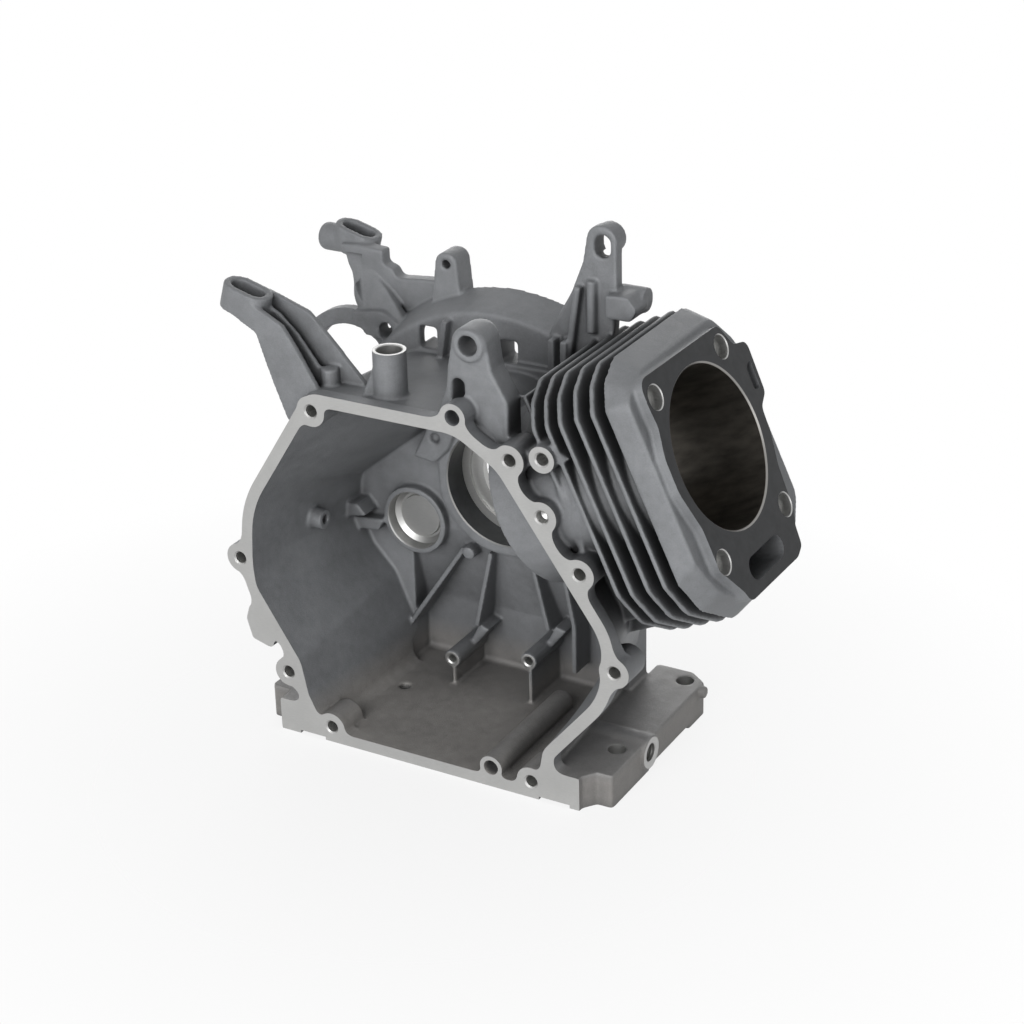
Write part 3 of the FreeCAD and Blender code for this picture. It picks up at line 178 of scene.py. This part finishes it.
class Shader:
    """A material whose nodes are added and linked by short calls."""

    def __init__(self, name):
        self.material = bpy.data.materials.new(name)
        self.material.use_nodes = True
        self.tree = self.material.node_tree
        self.tree.nodes.clear()
        self.output = self.tree.nodes.new("ShaderNodeOutputMaterial")

    def feed(self, socket, value):
        if isinstance(value, bpy.types.NodeSocket):
            self.tree.links.new(value, socket)
        elif value is not None:
            socket.default_value = value

    def node(self, kind, settings=None, inputs=None):
        node = self.tree.nodes.new(kind)
        for name, value in (settings or {}).items():
            setattr(node, name, value)
        for name, value in (inputs or {}).items():
            self.feed(node.inputs[name], value)
        return node

    def place(self):
        """The point on the object, in its own metres."""
        return self.node("ShaderNodeTexCoord").outputs["Object"]

    def combined(self, x, y, z=None):
        return self.node("ShaderNodeCombineXYZ", None, {0: x, 1: y, 2: z}).outputs[0]

    def math(self, operation, first, second=None):
        return self.node("ShaderNodeMath", {"operation": operation}, {0: first, 1: second}).outputs[0]

    def vector(self, operation, first, second=None):
        node = self.node("ShaderNodeVectorMath", {"operation": operation}, {0: first, 1: second})
        return node.outputs["Value" if operation in ("DOT_PRODUCT", "LENGTH") else "Vector"]

    def ramp(self, value, start, end, low=0.0, high=1.0):
        inputs = {"Value": value, "From Min": start, "From Max": end, "To Min": low, "To Max": high}
        return self.node("ShaderNodeMapRange", {"clamp": True}, inputs).outputs[0]

    def within(self, value, low, high, soft):
        """1 where the value lies between low and high, fading over soft."""
        rise = self.ramp(value, low - soft, low + soft)
        fall = self.ramp(value, high + soft, high - soft)
        return self.math("MULTIPLY", rise, fall)

    def noise(self, where, scale, detail, roughness=0.5):
        inputs = {"Vector": where, "Scale": scale, "Detail": detail, "Roughness": roughness}
        return self.node("ShaderNodeTexNoise", None, inputs).outputs["Fac"]

    def openness(self, reach):
        """1 on open ground, less where other surfaces stand within reach."""
        return self.node("ShaderNodeAmbientOcclusion", {"samples": 6}, {"Distance": reach}).outputs["AO"]

    def mix(self, share, first, second, blend="MIX"):
        node = self.node("ShaderNodeMix", {"data_type": "RGBA", "blend_type": blend}, {"Factor": share})
        for socket, value in ((node.inputs[6], first), (node.inputs[7], second)):
            self.feed(socket, (*value, 1) if isinstance(value, tuple) else value)
        return node.outputs[2]

    def bump(self, height, distance, strength):
        inputs = {"Height": height, "Distance": distance, "Strength": strength}
        return self.node("ShaderNodeBump", None, inputs).outputs[0]

    def finish(self, inputs):
        surface = self.node("ShaderNodeBsdfPrincipled", None, inputs)
        self.tree.links.new(surface.outputs[0], self.output.inputs["Surface"])
        return self.material


def casting_material():
    """Cast aluminium: a dull grey skin with a fine grain, browner at the foot, with painted shade in the
    corners, inside the case and between the fins."""
    skin, foot = (0.215, 0.222, 0.232), (0.30, 0.288, 0.275)
    # Colours of the painted shade in crevices, deep inside the case and in the gaps between the fins.
    painted_crevice_shade, painted_case_shade, painted_fin_gap_shade = (0.045, 0.047, 0.05), (0.05, 0.051, 0.053), (0.012, 0.012, 0.013)
    s = Shader("cast_aluminium_skin")
    place = s.place()
    height = s.node("ShaderNodeSeparateXYZ", None, {0: place}).outputs[2]
    grain = s.noise(place, 1500, 3)
    mottle = s.noise(place, 160, 4, 0.6)
    cloud = s.noise(place, 22, 3, 0.55)
    along = s.vector("DOT_PRODUCT", place, tuple(CYLINDER_AXIS))
    fins = s.within(along, 78 * MM, 146 * MM, 2 * MM)

    tone = s.math("ADD", s.ramp(mottle, 0.3, 0.7, -0.10, 0.10), s.ramp(cloud, 0.3, 0.7, -0.12, 0.12))
    tone = s.math("ADD", tone, s.ramp(grain, 0.3, 0.7, -0.07, 0.07))
    tone = s.math("ADD", tone, 1.0)
    cast = s.mix(s.ramp(height, -0.105, -0.118), skin, foot)
    cast = s.mix(1.0, cast, s.combined(tone, tone, tone), "MULTIPLY")
    # Painted shade: the colour darkens in corners where nearby surfaces enclose a point.
    cast = s.mix(s.ramp(s.openness(9 * MM), 0.75, 0.15, 0.0, 0.75), cast, painted_crevice_shade)
    # Painted shade: deep inside the case and in recesses the colour darkens by how enclosed a point is.
    cast = s.mix(s.ramp(s.openness(80 * MM), 0.72, 0.3, 0.0, 0.55), cast, painted_case_shade)
    # Painted shade: between the fins the colour goes nearly black where the gaps are enclosed.
    fin_gap_shade = s.ramp(s.openness(24 * MM), 0.8, 0.25, 0.0, 0.95)
    cast = s.mix(s.math("MULTIPLY", fins, fin_gap_shade), cast, painted_fin_gap_shade)
    normal = s.bump(s.math("ADD", grain, s.math("MULTIPLY", mottle, 1.6)), 0.16 * MM, 0.8)
    roughness = s.ramp(mottle, 0.3, 0.7, 0.5, 0.64)
    return s.finish({"Base Color": cast, "Roughness": roughness, "Metallic": 0.12, "Normal": normal})


def machined_material():
    """Freshly cut aluminium: light warm grey with faint cutter marks."""
    bright, dull, clouded = (0.46, 0.46, 0.452), (0.39, 0.39, 0.384), (0.35, 0.35, 0.346)
    s = Shader("machined_aluminium")
    place = s.place()
    milling = s.noise(s.vector("MULTIPLY", place, (300.0, 300.0, 2600.0)), 1.0, 2)
    cloud = s.noise(place, 40, 3, 0.55)
    milled = s.mix(s.ramp(milling, 0.35, 0.65, 0.0, 0.5), bright, dull)
    milled = s.mix(s.ramp(cloud, 0.35, 0.65, 0.0, 0.35), milled, clouded)
    normal = s.bump(milling, 0.01 * MM, 0.4)
    return s.finish({"Base Color": milled, "Roughness": 0.38, "Metallic": 0.85, "Normal": normal})


def deck_painted_dark_material():
    """The machined deck, which mirrors little light toward the camera, with that dark reflection painted into
    its colour: nearly black and faintly mottled.
    """
    s = Shader("machined_deck_painted_dark")
    mottle = s.noise(s.place(), 160, 4, 0.6)
    # Painted reflection: the deck's colour is nearly black.
    colour = s.mix(s.ramp(mottle, 0.3, 0.7), (0.018, 0.019, 0.020), (0.028, 0.029, 0.031))
    return s.finish({"Base Color": colour, "Roughness": 0.36, "Metallic": 0.85})


def liner_material():
    """Honed grey iron: streaked, with a fine cross hatch in the bore, a painted highlight on the rim and a
    dark end face with its reflection painted in.
    """
    dark, light = (0.085, 0.078, 0.068), (0.16, 0.147, 0.128)
    # The rim colour is a painted highlight, and the end face colour a painted dark reflection.
    rim, painted_dark_end_face = (0.27, 0.265, 0.255), (0.023, 0.024, 0.026)
    s = Shader("honed_iron")
    place = s.place()
    bore = Vector(MOUNTS["cylinder_bore"]["pos_m"])
    along = s.vector("DOT_PRODUCT", place, tuple(CYLINDER_AXIS))
    up = s.vector("DOT_PRODUCT", place, tuple(CYLINDER_UP))
    across = s.math("SUBTRACT", s.vector("DOT_PRODUCT", place, (0, 1, 0)), bore.y)
    angle = s.math("ARCTAN2", up, across)
    hatch = []
    for sign in (1, -1):
        phase = s.math("ADD", s.math("MULTIPLY", along, 2600.0), s.math("MULTIPLY", angle, sign * 70.0))
        hatch.append(s.math("SINE", phase))
    streak = s.noise(s.combined(s.math("MULTIPLY", along, 8.0), angle), 9, 3)
    iron = s.mix(s.ramp(streak, 0.3, 0.7), dark, light)
    radius = s.vector("LENGTH", s.combined(s.math("SUBTRACT", up, bore.dot(CYLINDER_UP)), across))
    wall = s.ramp(radius, 45 * MM, 44.8 * MM)
    near_deck = s.ramp(along, DECK_HEIGHT - 0.9 * MM, DECK_HEIGHT - 0.7 * MM)
    # Painted highlight on the rim of the bore at the deck.
    iron = s.mix(s.math("MULTIPLY", wall, near_deck), iron, rim)
    iron = s.mix(s.math("SUBTRACT", 1.0, wall), iron, painted_dark_end_face)
    normal = s.bump(s.math("MULTIPLY", hatch[0], hatch[1]), 0.006 * MM, 0.5)
    return s.finish({"Base Color": iron, "Roughness": 0.34, "Metallic": 0.85, "Normal": normal})


def thread_material():
    """Tapped aluminium, unevenly worn."""
    s = Shader("tapped_aluminium")
    colour = s.mix(s.noise(s.place(), 600, 2), (0.30, 0.30, 0.29), (0.42, 0.42, 0.41))
    return s.finish({"Base Color": colour, "Roughness": 0.38, "Metallic": 0.8})


def dress(node, material):
    """Gives a carried-over node its material."""
    piece = frame["nodes"][node]
    piece.data.materials.clear()
    piece.data.materials.append(material)


def new_object(name, mesh, materials):
    for material in materials:
        mesh.materials.append(material)
    piece = bpy.data.objects.new(name, mesh)
    bpy.context.scene.collection.objects.link(piece)
    return piece


def spokes(axis, steps, count):
    """Unit vectors square to an axis, one for each of count steps round it."""
    side = axis.orthogonal().normalized()
    other = axis.cross(side)
    turns = [2 * math.pi * step / steps for step in range(count)]
    return [side * math.cos(turn) + other * math.sin(turn) for turn in turns]


def mouths():
    """Where each tapped hole opens, in millimetres. Cover screws open at the gasket face, and head bolts at
    the bottom of their counterbores."""
    found = {}
    for name, mount in MOUNTS.items():
        if mount["kind"] != "threaded_hole":
            continue
        place = Vector(mount["pos_m"]) / MM
        axis = Vector(mount["axis"])
        if name.startswith("cover_screw") or name == "side_boss_screw":
            found[name] = (place.x, 0, place.z)
        elif name.startswith("sump_boss"):
            found[name] = (place.x, SUMP_BOSS_FACE, place.z)
        elif name.startswith("head_bolt"):
            found[name] = tuple(place + axis * (DECK - COUNTERBORE_DEPTH - place.dot(CYLINDER_AXIS)))
        elif name == "oil_drain":
            found[name] = (DRAIN_FACE, place.y, place.z)
    return found


MOUTHS = mouths()


def thread(name, mouth, outward, radius, length, pitch, material):
    """The thread of a tapped hole: a helical ridge on the wall of the hole, seen from its mouth."""
    rows = int(length / pitch) * THREAD_STEPS
    profile = [(0.0, 0.0), (0.5, -THREAD_DEPTH), (1.0, 0.0)]
    vertices = []
    for step, spoke in enumerate(spokes(outward, THREAD_STEPS, rows + 1)):
        fade = min(1.0, step / THREAD_STEPS, (rows - step) / THREAD_STEPS)
        for share, rise in profile:
            inward = pitch * (step / THREAD_STEPS + share)
            vertices.append(mouth - outward * inward + spoke * (radius + rise * fade))
    faces = []
    for step in range(rows):
        for column in range(len(profile) - 1):
            a = step * len(profile) + column
            faces.append((a, a + 1, a + 1 + len(profile), a + len(profile)))
    mesh = bpy.data.meshes.new(name)
    mesh.from_pydata(vertices, [], faces)
    mesh.shade_smooth()
    piece = new_object(name, mesh, [material])
    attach(piece, "root")


def threads(material):
    """A thread in every tapped hole whose mouth is known."""
    for name, opening in MOUTHS.items():
        mount = MOUNTS[name]
        radius = mount["dims"]["r_mm"]
        pitch = PITCHES[radius] * MM
        length = min(mount["dims"]["length_mm"], LONGEST_THREAD) * MM - 2 * pitch
        outward = Vector(mount["axis"]).normalized()
        mouth = Vector(opening) * MM - outward * COUNTERSINK
        thread("thread_" + name, mouth, outward, radius * MM, length, pitch, material)


def turned(origin, axis, profile, steps=SIDES):
    """Corners and faces of a closed turned solid, from its profile of (distance along the axis, radius)."""
    axis = Vector(axis).normalized()
    round_it = spokes(axis, steps, steps)
    vertices = []
    for along, radius in profile:
        vertices += [Vector(origin) + axis * along + spoke * radius for spoke in round_it]
    faces = [tuple(reversed(range(steps)))]
    for ring in range(len(profile) - 1):
        for step in range(steps):
            a = ring * steps + step
            b = ring * steps + (step + 1) % steps
            faces.append((a, b, b + steps, a + steps))
    faces.append(tuple(range((len(profile) - 1) * steps, len(profile) * steps)))
    return vertices, faces


def block(low, high, turn=None):
    """Corners and faces of a box, turned about the origin if asked."""
    xs, ys, zs = zip(low, high)
    vertices = [Vector((x, y, z)) for x in xs for y in ys for z in zs]
    if turn is not None:
        vertices = [turn @ v for v in vertices]
    faces = [(0, 1, 3, 2), (4, 6, 7, 5), (0, 4, 5, 1), (2, 3, 7, 6), (0, 2, 6, 4), (1, 5, 7, 3)]
    return vertices, faces


def prism(outline, front, back):
    """Corners and faces of a bar along Y with the given outline of (x, z)."""
    count = len(outline)
    vertices = [Vector((x, y, z)) for y in (front, back) for x, z in outline]
    faces = [tuple(range(count)), tuple(reversed(range(count, 2 * count)))]
    for i in range(count):
        j = (i + 1) % count
        faces.append((j, i, i + count, j + count))
    return vertices, faces


def added(bm, solid):
    """Adds a solid's corners and faces to a mesh."""
    vertices, faces = solid
    made = [bm.verts.new(v) for v in vertices]
    for face in faces:
        bm.faces.new([made[i] for i in face])


def flat_faces(bm, point, facing):
    """The faces of a mesh that lie in one plane and face one way."""
    level = point.dot(facing)
    return [f for f in bm.faces if f.normal.dot(facing) > ALIGNED
            and all(abs(v.co.dot(facing) - level) < FLAT for v in f.verts)]


def machined_planes():
    """A point on each machined plane and the way it faces."""
    names = ("cover_gasket_face", "deck_face", "base_face")
    governor = MOUNTS["governor_seal_seat"]["pos_m"]
    found = [(MOUNTS[name]["pos_m"], MOUNTS[name]["axis"]) for name in names]
    return found + [((governor[0], governor[1], GOVERNOR_TOP), (0, 0, 1))]


def grown_face(bm, point, facing):
    """A slab over the flat faces of a mesh in one plane, so that they can be cut flat after rounding."""
    facing = Vector(facing).normalized()
    flat = flat_faces(bm, Vector(point), facing)
    index = {}
    corners = []
    for face in flat:
        for v in face.verts:
            if v.index not in index:
                index[v.index] = len(corners)
                corners.append(v.co.copy())
    count = len(corners)
    vertices = [c + facing * OVERLAP for c in corners] + [c - facing * OVERLAP / 2 for c in corners]
    faces = []
    border = {}
    for face in flat:
        ring = [index[v.index] for v in face.verts]
        faces.append(tuple(ring))
        faces.append(tuple(count + i for i in reversed(ring)))
        for edge in zip(ring, ring[1:] + ring[:1]):
            key = tuple(sorted(edge))
            border[key] = None if key in border else edge
    for edge in border.values():
        if edge:
            a, b = edge
            faces.append((b, a, a + count, b + count))
    return vertices, faces


def flange_loops(bm):
    """The outer edge of the cover gasket face and the edge of the cavity in it, as points (x, z), with the
    metal on the left."""
    listed = flat_faces(bm, Vector((0, 0, 0)), Vector((0, -1, 0)))
    flat = set(listed)
    following = {}
    for face in listed:
        for corner in face.loops:
            if not any(other in flat for other in corner.edge.link_faces if other is not face):
                following[corner.vert] = corner.link_loop_next.vert
    rings = []
    while following:
        start, vert = following.popitem()
        ring = [start]
        while vert is not start and vert in following:
            ring.append(vert)
            vert = following.pop(vert)
        points = [Vector((v.co.x, v.co.z)) for v in ring]
        area = sum(a.x * b.y - b.x * a.y for a, b in zip(points, points[1:] + points[:1])) / 2
        rings.append((area, points))
    rings.sort(key=lambda ring: ring[0])
    return rings[-1][1], rings[0][1]


def walked(ring, start, step, length):
    """The points passed along a closed ring from one of its corners, up to a length."""
    path = [ring[start]]
    at = start
    while length > 0:
        at = (at + step) % len(ring)
        leg = ring[at] - path[-1]
        path.append(path[-1] + leg * min(1.0, length / max(leg.length, 1e-9)))
        length -= leg.length
    return path


def necks(bm):
    """Soft hollows between the rim of the cover flange and the bosses that stand out from it."""
    found = []
    for ring, reach in zip(flange_loops(bm), (NECK, INNER_NECK)):
        for i, corner in enumerate(ring):
            before = (corner - ring[i - 1]).normalized()
            after = (ring[(i + 1) % len(ring)] - corner).normalized()
            if before.x * after.y - before.y * after.x > CONCAVE:
                continue
            path = list(reversed(walked(ring, i, -1, reach))) + walked(ring, i, 1, reach)[1:]
            first, last = path[0], path[-1]
            curve = [first.lerp(corner, t).lerp(corner.lerp(last, t), t) for t in NECK_CURVE]
            found.append(prism(path + curve, -OVERLAP, FLANGE))
    return found


def bores():
    """Every tapped hole: its mouth, the way in, its profile of (depth, radius), and its span in the metal."""
    found = []
    for name, opening in MOUTHS.items():
        mount = MOUNTS[name]
        radius = mount["dims"]["r_mm"] * MM
        length = mount["dims"]["length_mm"] * MM
        inward = -Vector(mount["axis"])
        mouth = Vector(opening) * MM
        if name.startswith("head_bolt"):
            mouth = mouth - inward * COUNTERBORE_DEPTH * MM
            wide = COUNTERBORE * MM
            floor = COUNTERBORE_DEPTH * MM
            profile = [(-2 * OVERLAP, wide + COUNTERBORE_CHAMFER), (0, wide + COUNTERBORE_CHAMFER),
                       (COUNTERBORE_CHAMFER, wide), (floor, wide), (floor, radius), (floor + length, radius)]
        else:
            wide = radius + COUNTERSINK
            profile = [(-2 * OVERLAP, wide), (0, wide), (COUNTERSINK, radius), (length + COUNTERSINK, radius)]
        span = (PLUG_START, min(profile[-1][0], DRAIN_METAL))
        if name in FACED:
            facing = [(-2 * OVERLAP, FACED[name]), (FACING_CUT, FACED[name]), (FACING_CUT, wide)]
            profile = facing + profile[2:]
            span = (FACING_CUT, span[1])
        profile.append((profile[-1][0] + DRILL_POINT * radius, DRILL_TIP))
        found.append((mouth, inward, profile, span))
    return found


def seats():
    """The bearing, liner and seal seats and the mounting holes, as bores() gives the tapped holes."""
    balancer = Vector(MOUNTS["balancer_bearing_seat"]["pos_m"])
    balancer.y = END_WALL
    cylinder = Vector(MOUNTS["cylinder_bore"]["pos_m"])
    cylinder -= CYLINDER_AXIS * cylinder.dot(CYLINDER_AXIS)
    governor = Vector(MOUNTS["governor_seal_seat"]["pos_m"])
    governor.z = GOVERNOR_TOP
    listed = [
        (Vector((0, END_WALL, 0)), (0, 1, 0), *MAIN_SEAT),
        (balancer, (0, 1, 0), *BALANCER_SEAT),
        (cylinder, CYLINDER_AXIS, *LINER_SEAT),
        (governor, (0, 0, -1), *GOVERNOR_SEAT),
    ]
    pattern = MOUNTS["base_holes"]
    middle = Vector(pattern["pos_m"])
    sizes = pattern["dims"]
    hole = [(depth, sizes["hole_r_mm"]) for depth in BASE_HOLE_DEPTHS]
    for across in (-1, 1):
        for along in (-1, 1):
            place = Vector((middle.x + across * sizes["spacing_x_mm"] * MM / 2,
                            middle.y + along * sizes["spacing_y_mm"] * MM / 2, cad_box[0].z))
            listed.append((place, (0, 0, 1), hole, BASE_HOLE_SPAN))
    return [(origin, axis, [(d * MM, r * MM) for d, r in profile], (span[0] * MM, span[1] * MM))
            for origin, axis, profile, span in listed]


def plugs(origin, axis, profile, span):
    """Plain bars that fill a turned hole before the casting is rounded, as far as it lies in the metal."""
    found = []
    for (start, radius), (end, _) in zip(profile[:-1], profile[1:]):
        start = max(start, span[0])
        end = min(end, span[1])
        if end - start > SHORTEST_PLUG:
            found.append(turned(origin, axis, [(start, radius + PLUG_SPARE), (end, radius + PLUG_SPARE)]))
    return found


def stub():
    """The end of the round stub on the rear tank arm."""
    seat = Vector(MOUNTS["rear_tank_slot"]["pos_m"])
    return turned((STUB_END, seat.y, STUB_HEIGHT), (1, 0, 0), [(d * MM, r * MM) for d, r in STUB])


def cuts():
    """Solids that cut the casting flat again, each with the finish that it leaves: the gasket face, the deck,
    the base, the top of the governor boss, the rear arm's side band and the steps between the feet."""
    foot = cad_box[0].z
    lean = Matrix.Rotation(-TILT, 3, "Y")
    band, band_faces = prism(BAND_CUT, *BAND_CUT_SPAN)
    found = [
        (block((-FAR, -BEYOND, -FAR), (FAR, 0, FAR)), MACHINED),
        # The deck takes the slot whose dark reflection is painted into its colour.
        (block((DECK_HEIGHT, *DECK_LOW), (DECK_HEIGHT + BEYOND, *DECK_HIGH), lean), PAINTED_DARK),
        (block((-FAR, -FAR, foot - BEYOND), (FAR, FAR, foot)), MACHINED),
        (block((*GOVERNOR_LOW, GOVERNOR_TOP), (*GOVERNOR_HIGH, GOVERNOR_TOP + SHALLOW)), MACHINED),
        (([Vector((-v.y, v.x, v.z)) for v in band], band_faces), CAST),
    ]
    for left, right in FOOT_STEPS:
        low, high = (left, -BEYOND, foot - SHALLOW), (right, PAST_REAR, foot + FOOT_STEP_DEPTH)
        found.append((block(low, high), CAST))
    return found


def seat_finish(face):
    """The wall of the main bearing seat gets a painted dark reflection of the case; the other seats are
    bright.
    """
    middle = face.calc_center_median()
    deep = MAIN_WALL_DEPTH[0] < middle.y - END_WALL < MAIN_WALL_DEPTH[1]
    wide = MAIN_WALL_RADIUS[0] < math.hypot(middle.x, middle.z) < MAIN_WALL_RADIUS[1]
    return PAINTED_DARK if deep and wide else MACHINED


def cutter(name, solids, finish, materials):
    """A tool that is taken from the casting. The finish is a material slot, or gives one for each face."""
    bm = bmesh.new()
    for solid in solids:
        added(bm, solid)
    bmesh.ops.recalc_face_normals(bm, faces=bm.faces)
    for face in bm.faces:
        face.material_index = finish(face) if callable(finish) else finish
    mesh = bpy.data.meshes.new(name)
    bm.to_mesh(mesh)
    bm.free()
    piece = new_object(name, mesh, materials)
    return piece


def baked(piece):
    """Puts the result of the piece's modifiers into its mesh."""
    result = bpy.data.meshes.new_from_object(piece.evaluated_get(bpy.context.evaluated_depsgraph_get()))
    piece.modifiers.clear()
    piece.data = result


def rounded_casting(materials):
    """The crankcase with the soft edges and hollows of a casting, and with crisp machined faces and bores.
    Slabs and plugs fill what is machined, the casting is rounded, and the cutters open it again."""
    tapped, turned_seats = bores(), seats()
    bm = bmesh.new()
    bm.from_mesh(frame["nodes"]["crankcase"].data)
    bmesh.ops.remove_doubles(bm, verts=bm.verts, dist=WELD)
    bm.normal_update()
    bm.verts.index_update()
    extra = [grown_face(bm, point, facing) for point, facing in machined_planes()] + necks(bm) + [stub()]
    for hole in tapped + turned_seats:
        extra += plugs(*hole)
    for solid in extra:
        added(bm, solid)
    mesh = bpy.data.meshes.new("crankcase_casting")
    bm.to_mesh(mesh)
    bm.free()
    piece = new_object("crankcase_casting", mesh, materials)

    tools = [cutter("plane", [solid], finish, materials) for solid, finish in cuts()]
    drills = [turned(*hole[:3], DRILL_SIDES) for hole in tapped]
    lathes = [turned(*hole[:3], SEAT_SIDES) for hole in turned_seats]
    tools.append(cutter("drills", drills, MACHINED, materials))
    tools.append(cutter("seats", lathes, seat_finish, materials))

    remesh = piece.modifiers.new("voxels", "REMESH")
    remesh.mode = "VOXEL"
    remesh.voxel_size = VOXEL
    smooth = piece.modifiers.new("rounding", "SMOOTH")
    smooth.factor = ROUNDING
    smooth.iterations = ROUNDING_STEPS
    baked(piece)
    thin = piece.modifiers.new("thinning", "DECIMATE")
    thin.ratio = min(1.0, MOST_TRIANGLES / (2 * len(piece.data.polygons)))
    for tool in tools:
        cut = piece.modifiers.new("cut_" + tool.name, "BOOLEAN")
        cut.operation = "DIFFERENCE"
        cut.solver = "MANIFOLD"
        cut.object = tool
    baked(piece)
    for tool in tools:
        bpy.data.objects.remove(tool)
    piece.data.shade_smooth()
    piece.data.set_sharp_from_angle(angle=SHARP_ANGLE)
    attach(piece, "root")
    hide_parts("crankcase")


def looked_at(tree):
    """1 for the rays that see the background: straight from the camera, mirrored or through glass."""
    path = tree.nodes.new("ShaderNodeLightPath")
    value = path.outputs["Is Camera Ray"]
    for name in ("Is Glossy Ray", "Is Transmission Ray"):
        larger = tree.nodes.new("ShaderNodeMath")
        larger.operation = "MAXIMUM"
        tree.links.new(value, larger.inputs[0])
        tree.links.new(path.outputs[name], larger.inputs[1])
        value = larger.outputs[0]
    return value


def floor_material():
    """A pale floor that takes the object's shadow. It is clear from below, and far from the object."""
    s = Shader("pale_floor")
    below = s.node("ShaderNodeNewGeometry").outputs["Backfacing"]
    bare = s.math("MAXIMUM", below, s.ramp(s.vector("LENGTH", s.place()), FLOOR_SOLID, FLOOR_GONE))
    matt = s.node("ShaderNodeBsdfDiffuse", None, {"Color": (0.93, 0.93, 0.93, 1)}).outputs[0]
    white = s.node("ShaderNodeEmission", None, {"Color": (1, 1, 1, 1)}).outputs[0]
    glow = s.math("MULTIPLY", looked_at(s.tree), FLOOR_GLOW)
    lit = s.node("ShaderNodeMixShader", None, {0: glow, 1: matt, 2: white}).outputs[0]
    clear = s.node("ShaderNodeBsdfTransparent").outputs[0]
    surface = s.node("ShaderNodeMixShader", None, {0: bare, 1: lit, 2: clear}).outputs[0]
    s.tree.links.new(surface, s.output.inputs["Surface"])
    return s.material


def stage():
    """A pale floor under the base and a white world around it."""
    level = cad_box[0].z
    square = ((-1, -1), (1, -1), (1, 1), (-1, 1))
    floor = bpy.data.meshes.new("floor")
    floor.from_pydata([(x * FLOOR_REACH, y * FLOOR_REACH, level) for x, y in square], [], [(0, 1, 2, 3)])
    piece = new_object("floor", floor, [floor_material()])

    world = bpy.data.worlds.new("studio")
    bpy.context.scene.world = world
    world.use_nodes = True
    tree = world.node_tree
    tree.nodes.clear()
    strength = tree.nodes.new("ShaderNodeMapRange")
    strength.inputs["To Min"].default_value = AMBIENT
    strength.inputs["To Max"].default_value = 1.0
    tree.links.new(looked_at(tree), strength.inputs["Value"])
    background = tree.nodes.new("ShaderNodeBackground")
    background.inputs["Color"].default_value = (1, 1, 1, 1)
    tree.links.new(strength.outputs[0], background.inputs["Strength"])
    output = tree.nodes.new("ShaderNodeOutputWorld")
    tree.links.new(background.outputs[0], output.inputs["Surface"])


def lamp(name, direction, distance, size, power):
    """A square softbox that faces the middle of the object and isn't seen itself."""
    data = bpy.data.lights.new(name, "AREA")
    data.shape = "SQUARE"
    data.size = size
    data.energy = power
    piece = bpy.data.objects.new(name, data)
    piece.visible_camera = False
    away = Vector(direction).normalized()
    piece.location = (cad_box[0] + cad_box[1]) / 2 + away * distance
    piece.rotation_mode = "QUATERNION"
    piece.rotation_quaternion = away.to_track_quat("Z", "Y")
    bpy.context.scene.collection.objects.link(piece)


def lights():
    """Direction, distance in metres, size in metres and watts of each softbox."""
    lamp("key_softbox", (0.05, -1.0, 0.32), 1.6, 1.1, 20)
    lamp("top_softbox", (-0.3, 0.2, 1.0), 1.7, 1.4, 1.5)
    lamp("side_softbox", (1.0, -0.6, 0.3), 1.8, 1.0, 5)
    lamp("rear_softbox", (-0.5, 1.0, 0.15), 1.8, 1.2, 14)


def camera():
    """The camera of the photograph, found from the object's known sizes."""
    azimuth = math.radians(30.03)
    elevation = math.radians(25.28)
    roll = math.radians(-1.43)
    focal_pixels = 2386.7
    frame_pixels = 1024
    place = Vector((0.6192, -0.9664, 0.5651))
    ca, sa = math.cos(azimuth), math.sin(azimuth)
    ce, se = math.cos(elevation), math.sin(elevation)
    cr, sr = math.cos(roll), math.sin(roll)
    right = Vector((ca, sa, 0))
    up = Vector((-sa * se, ca * se, ce))
    back = Vector((sa * ce, -ca * ce, se))
    data = bpy.data.cameras.new("camera")
    data.sensor_width = 36
    data.lens = focal_pixels / frame_pixels * data.sensor_width
    data.clip_start = 0.05
    data.clip_end = 20
    piece = bpy.data.objects.new("camera", data)
    columns = Matrix((right * cr + up * sr, up * cr - right * sr, back)).transposed()
    piece.matrix_world = Matrix.Translation(place) @ columns.to_4x4()
    bpy.context.scene.collection.objects.link(piece)
    bpy.context.scene.camera = piece


def main():
    rounded_casting([casting_material(), machined_material(), deck_painted_dark_material()])
    dress("cylinder_liner", liner_material())
    threads(thread_material())
    stage()
    lights()
    camera()
    bpy.context.scene.view_settings.view_transform = "Standard"


main()
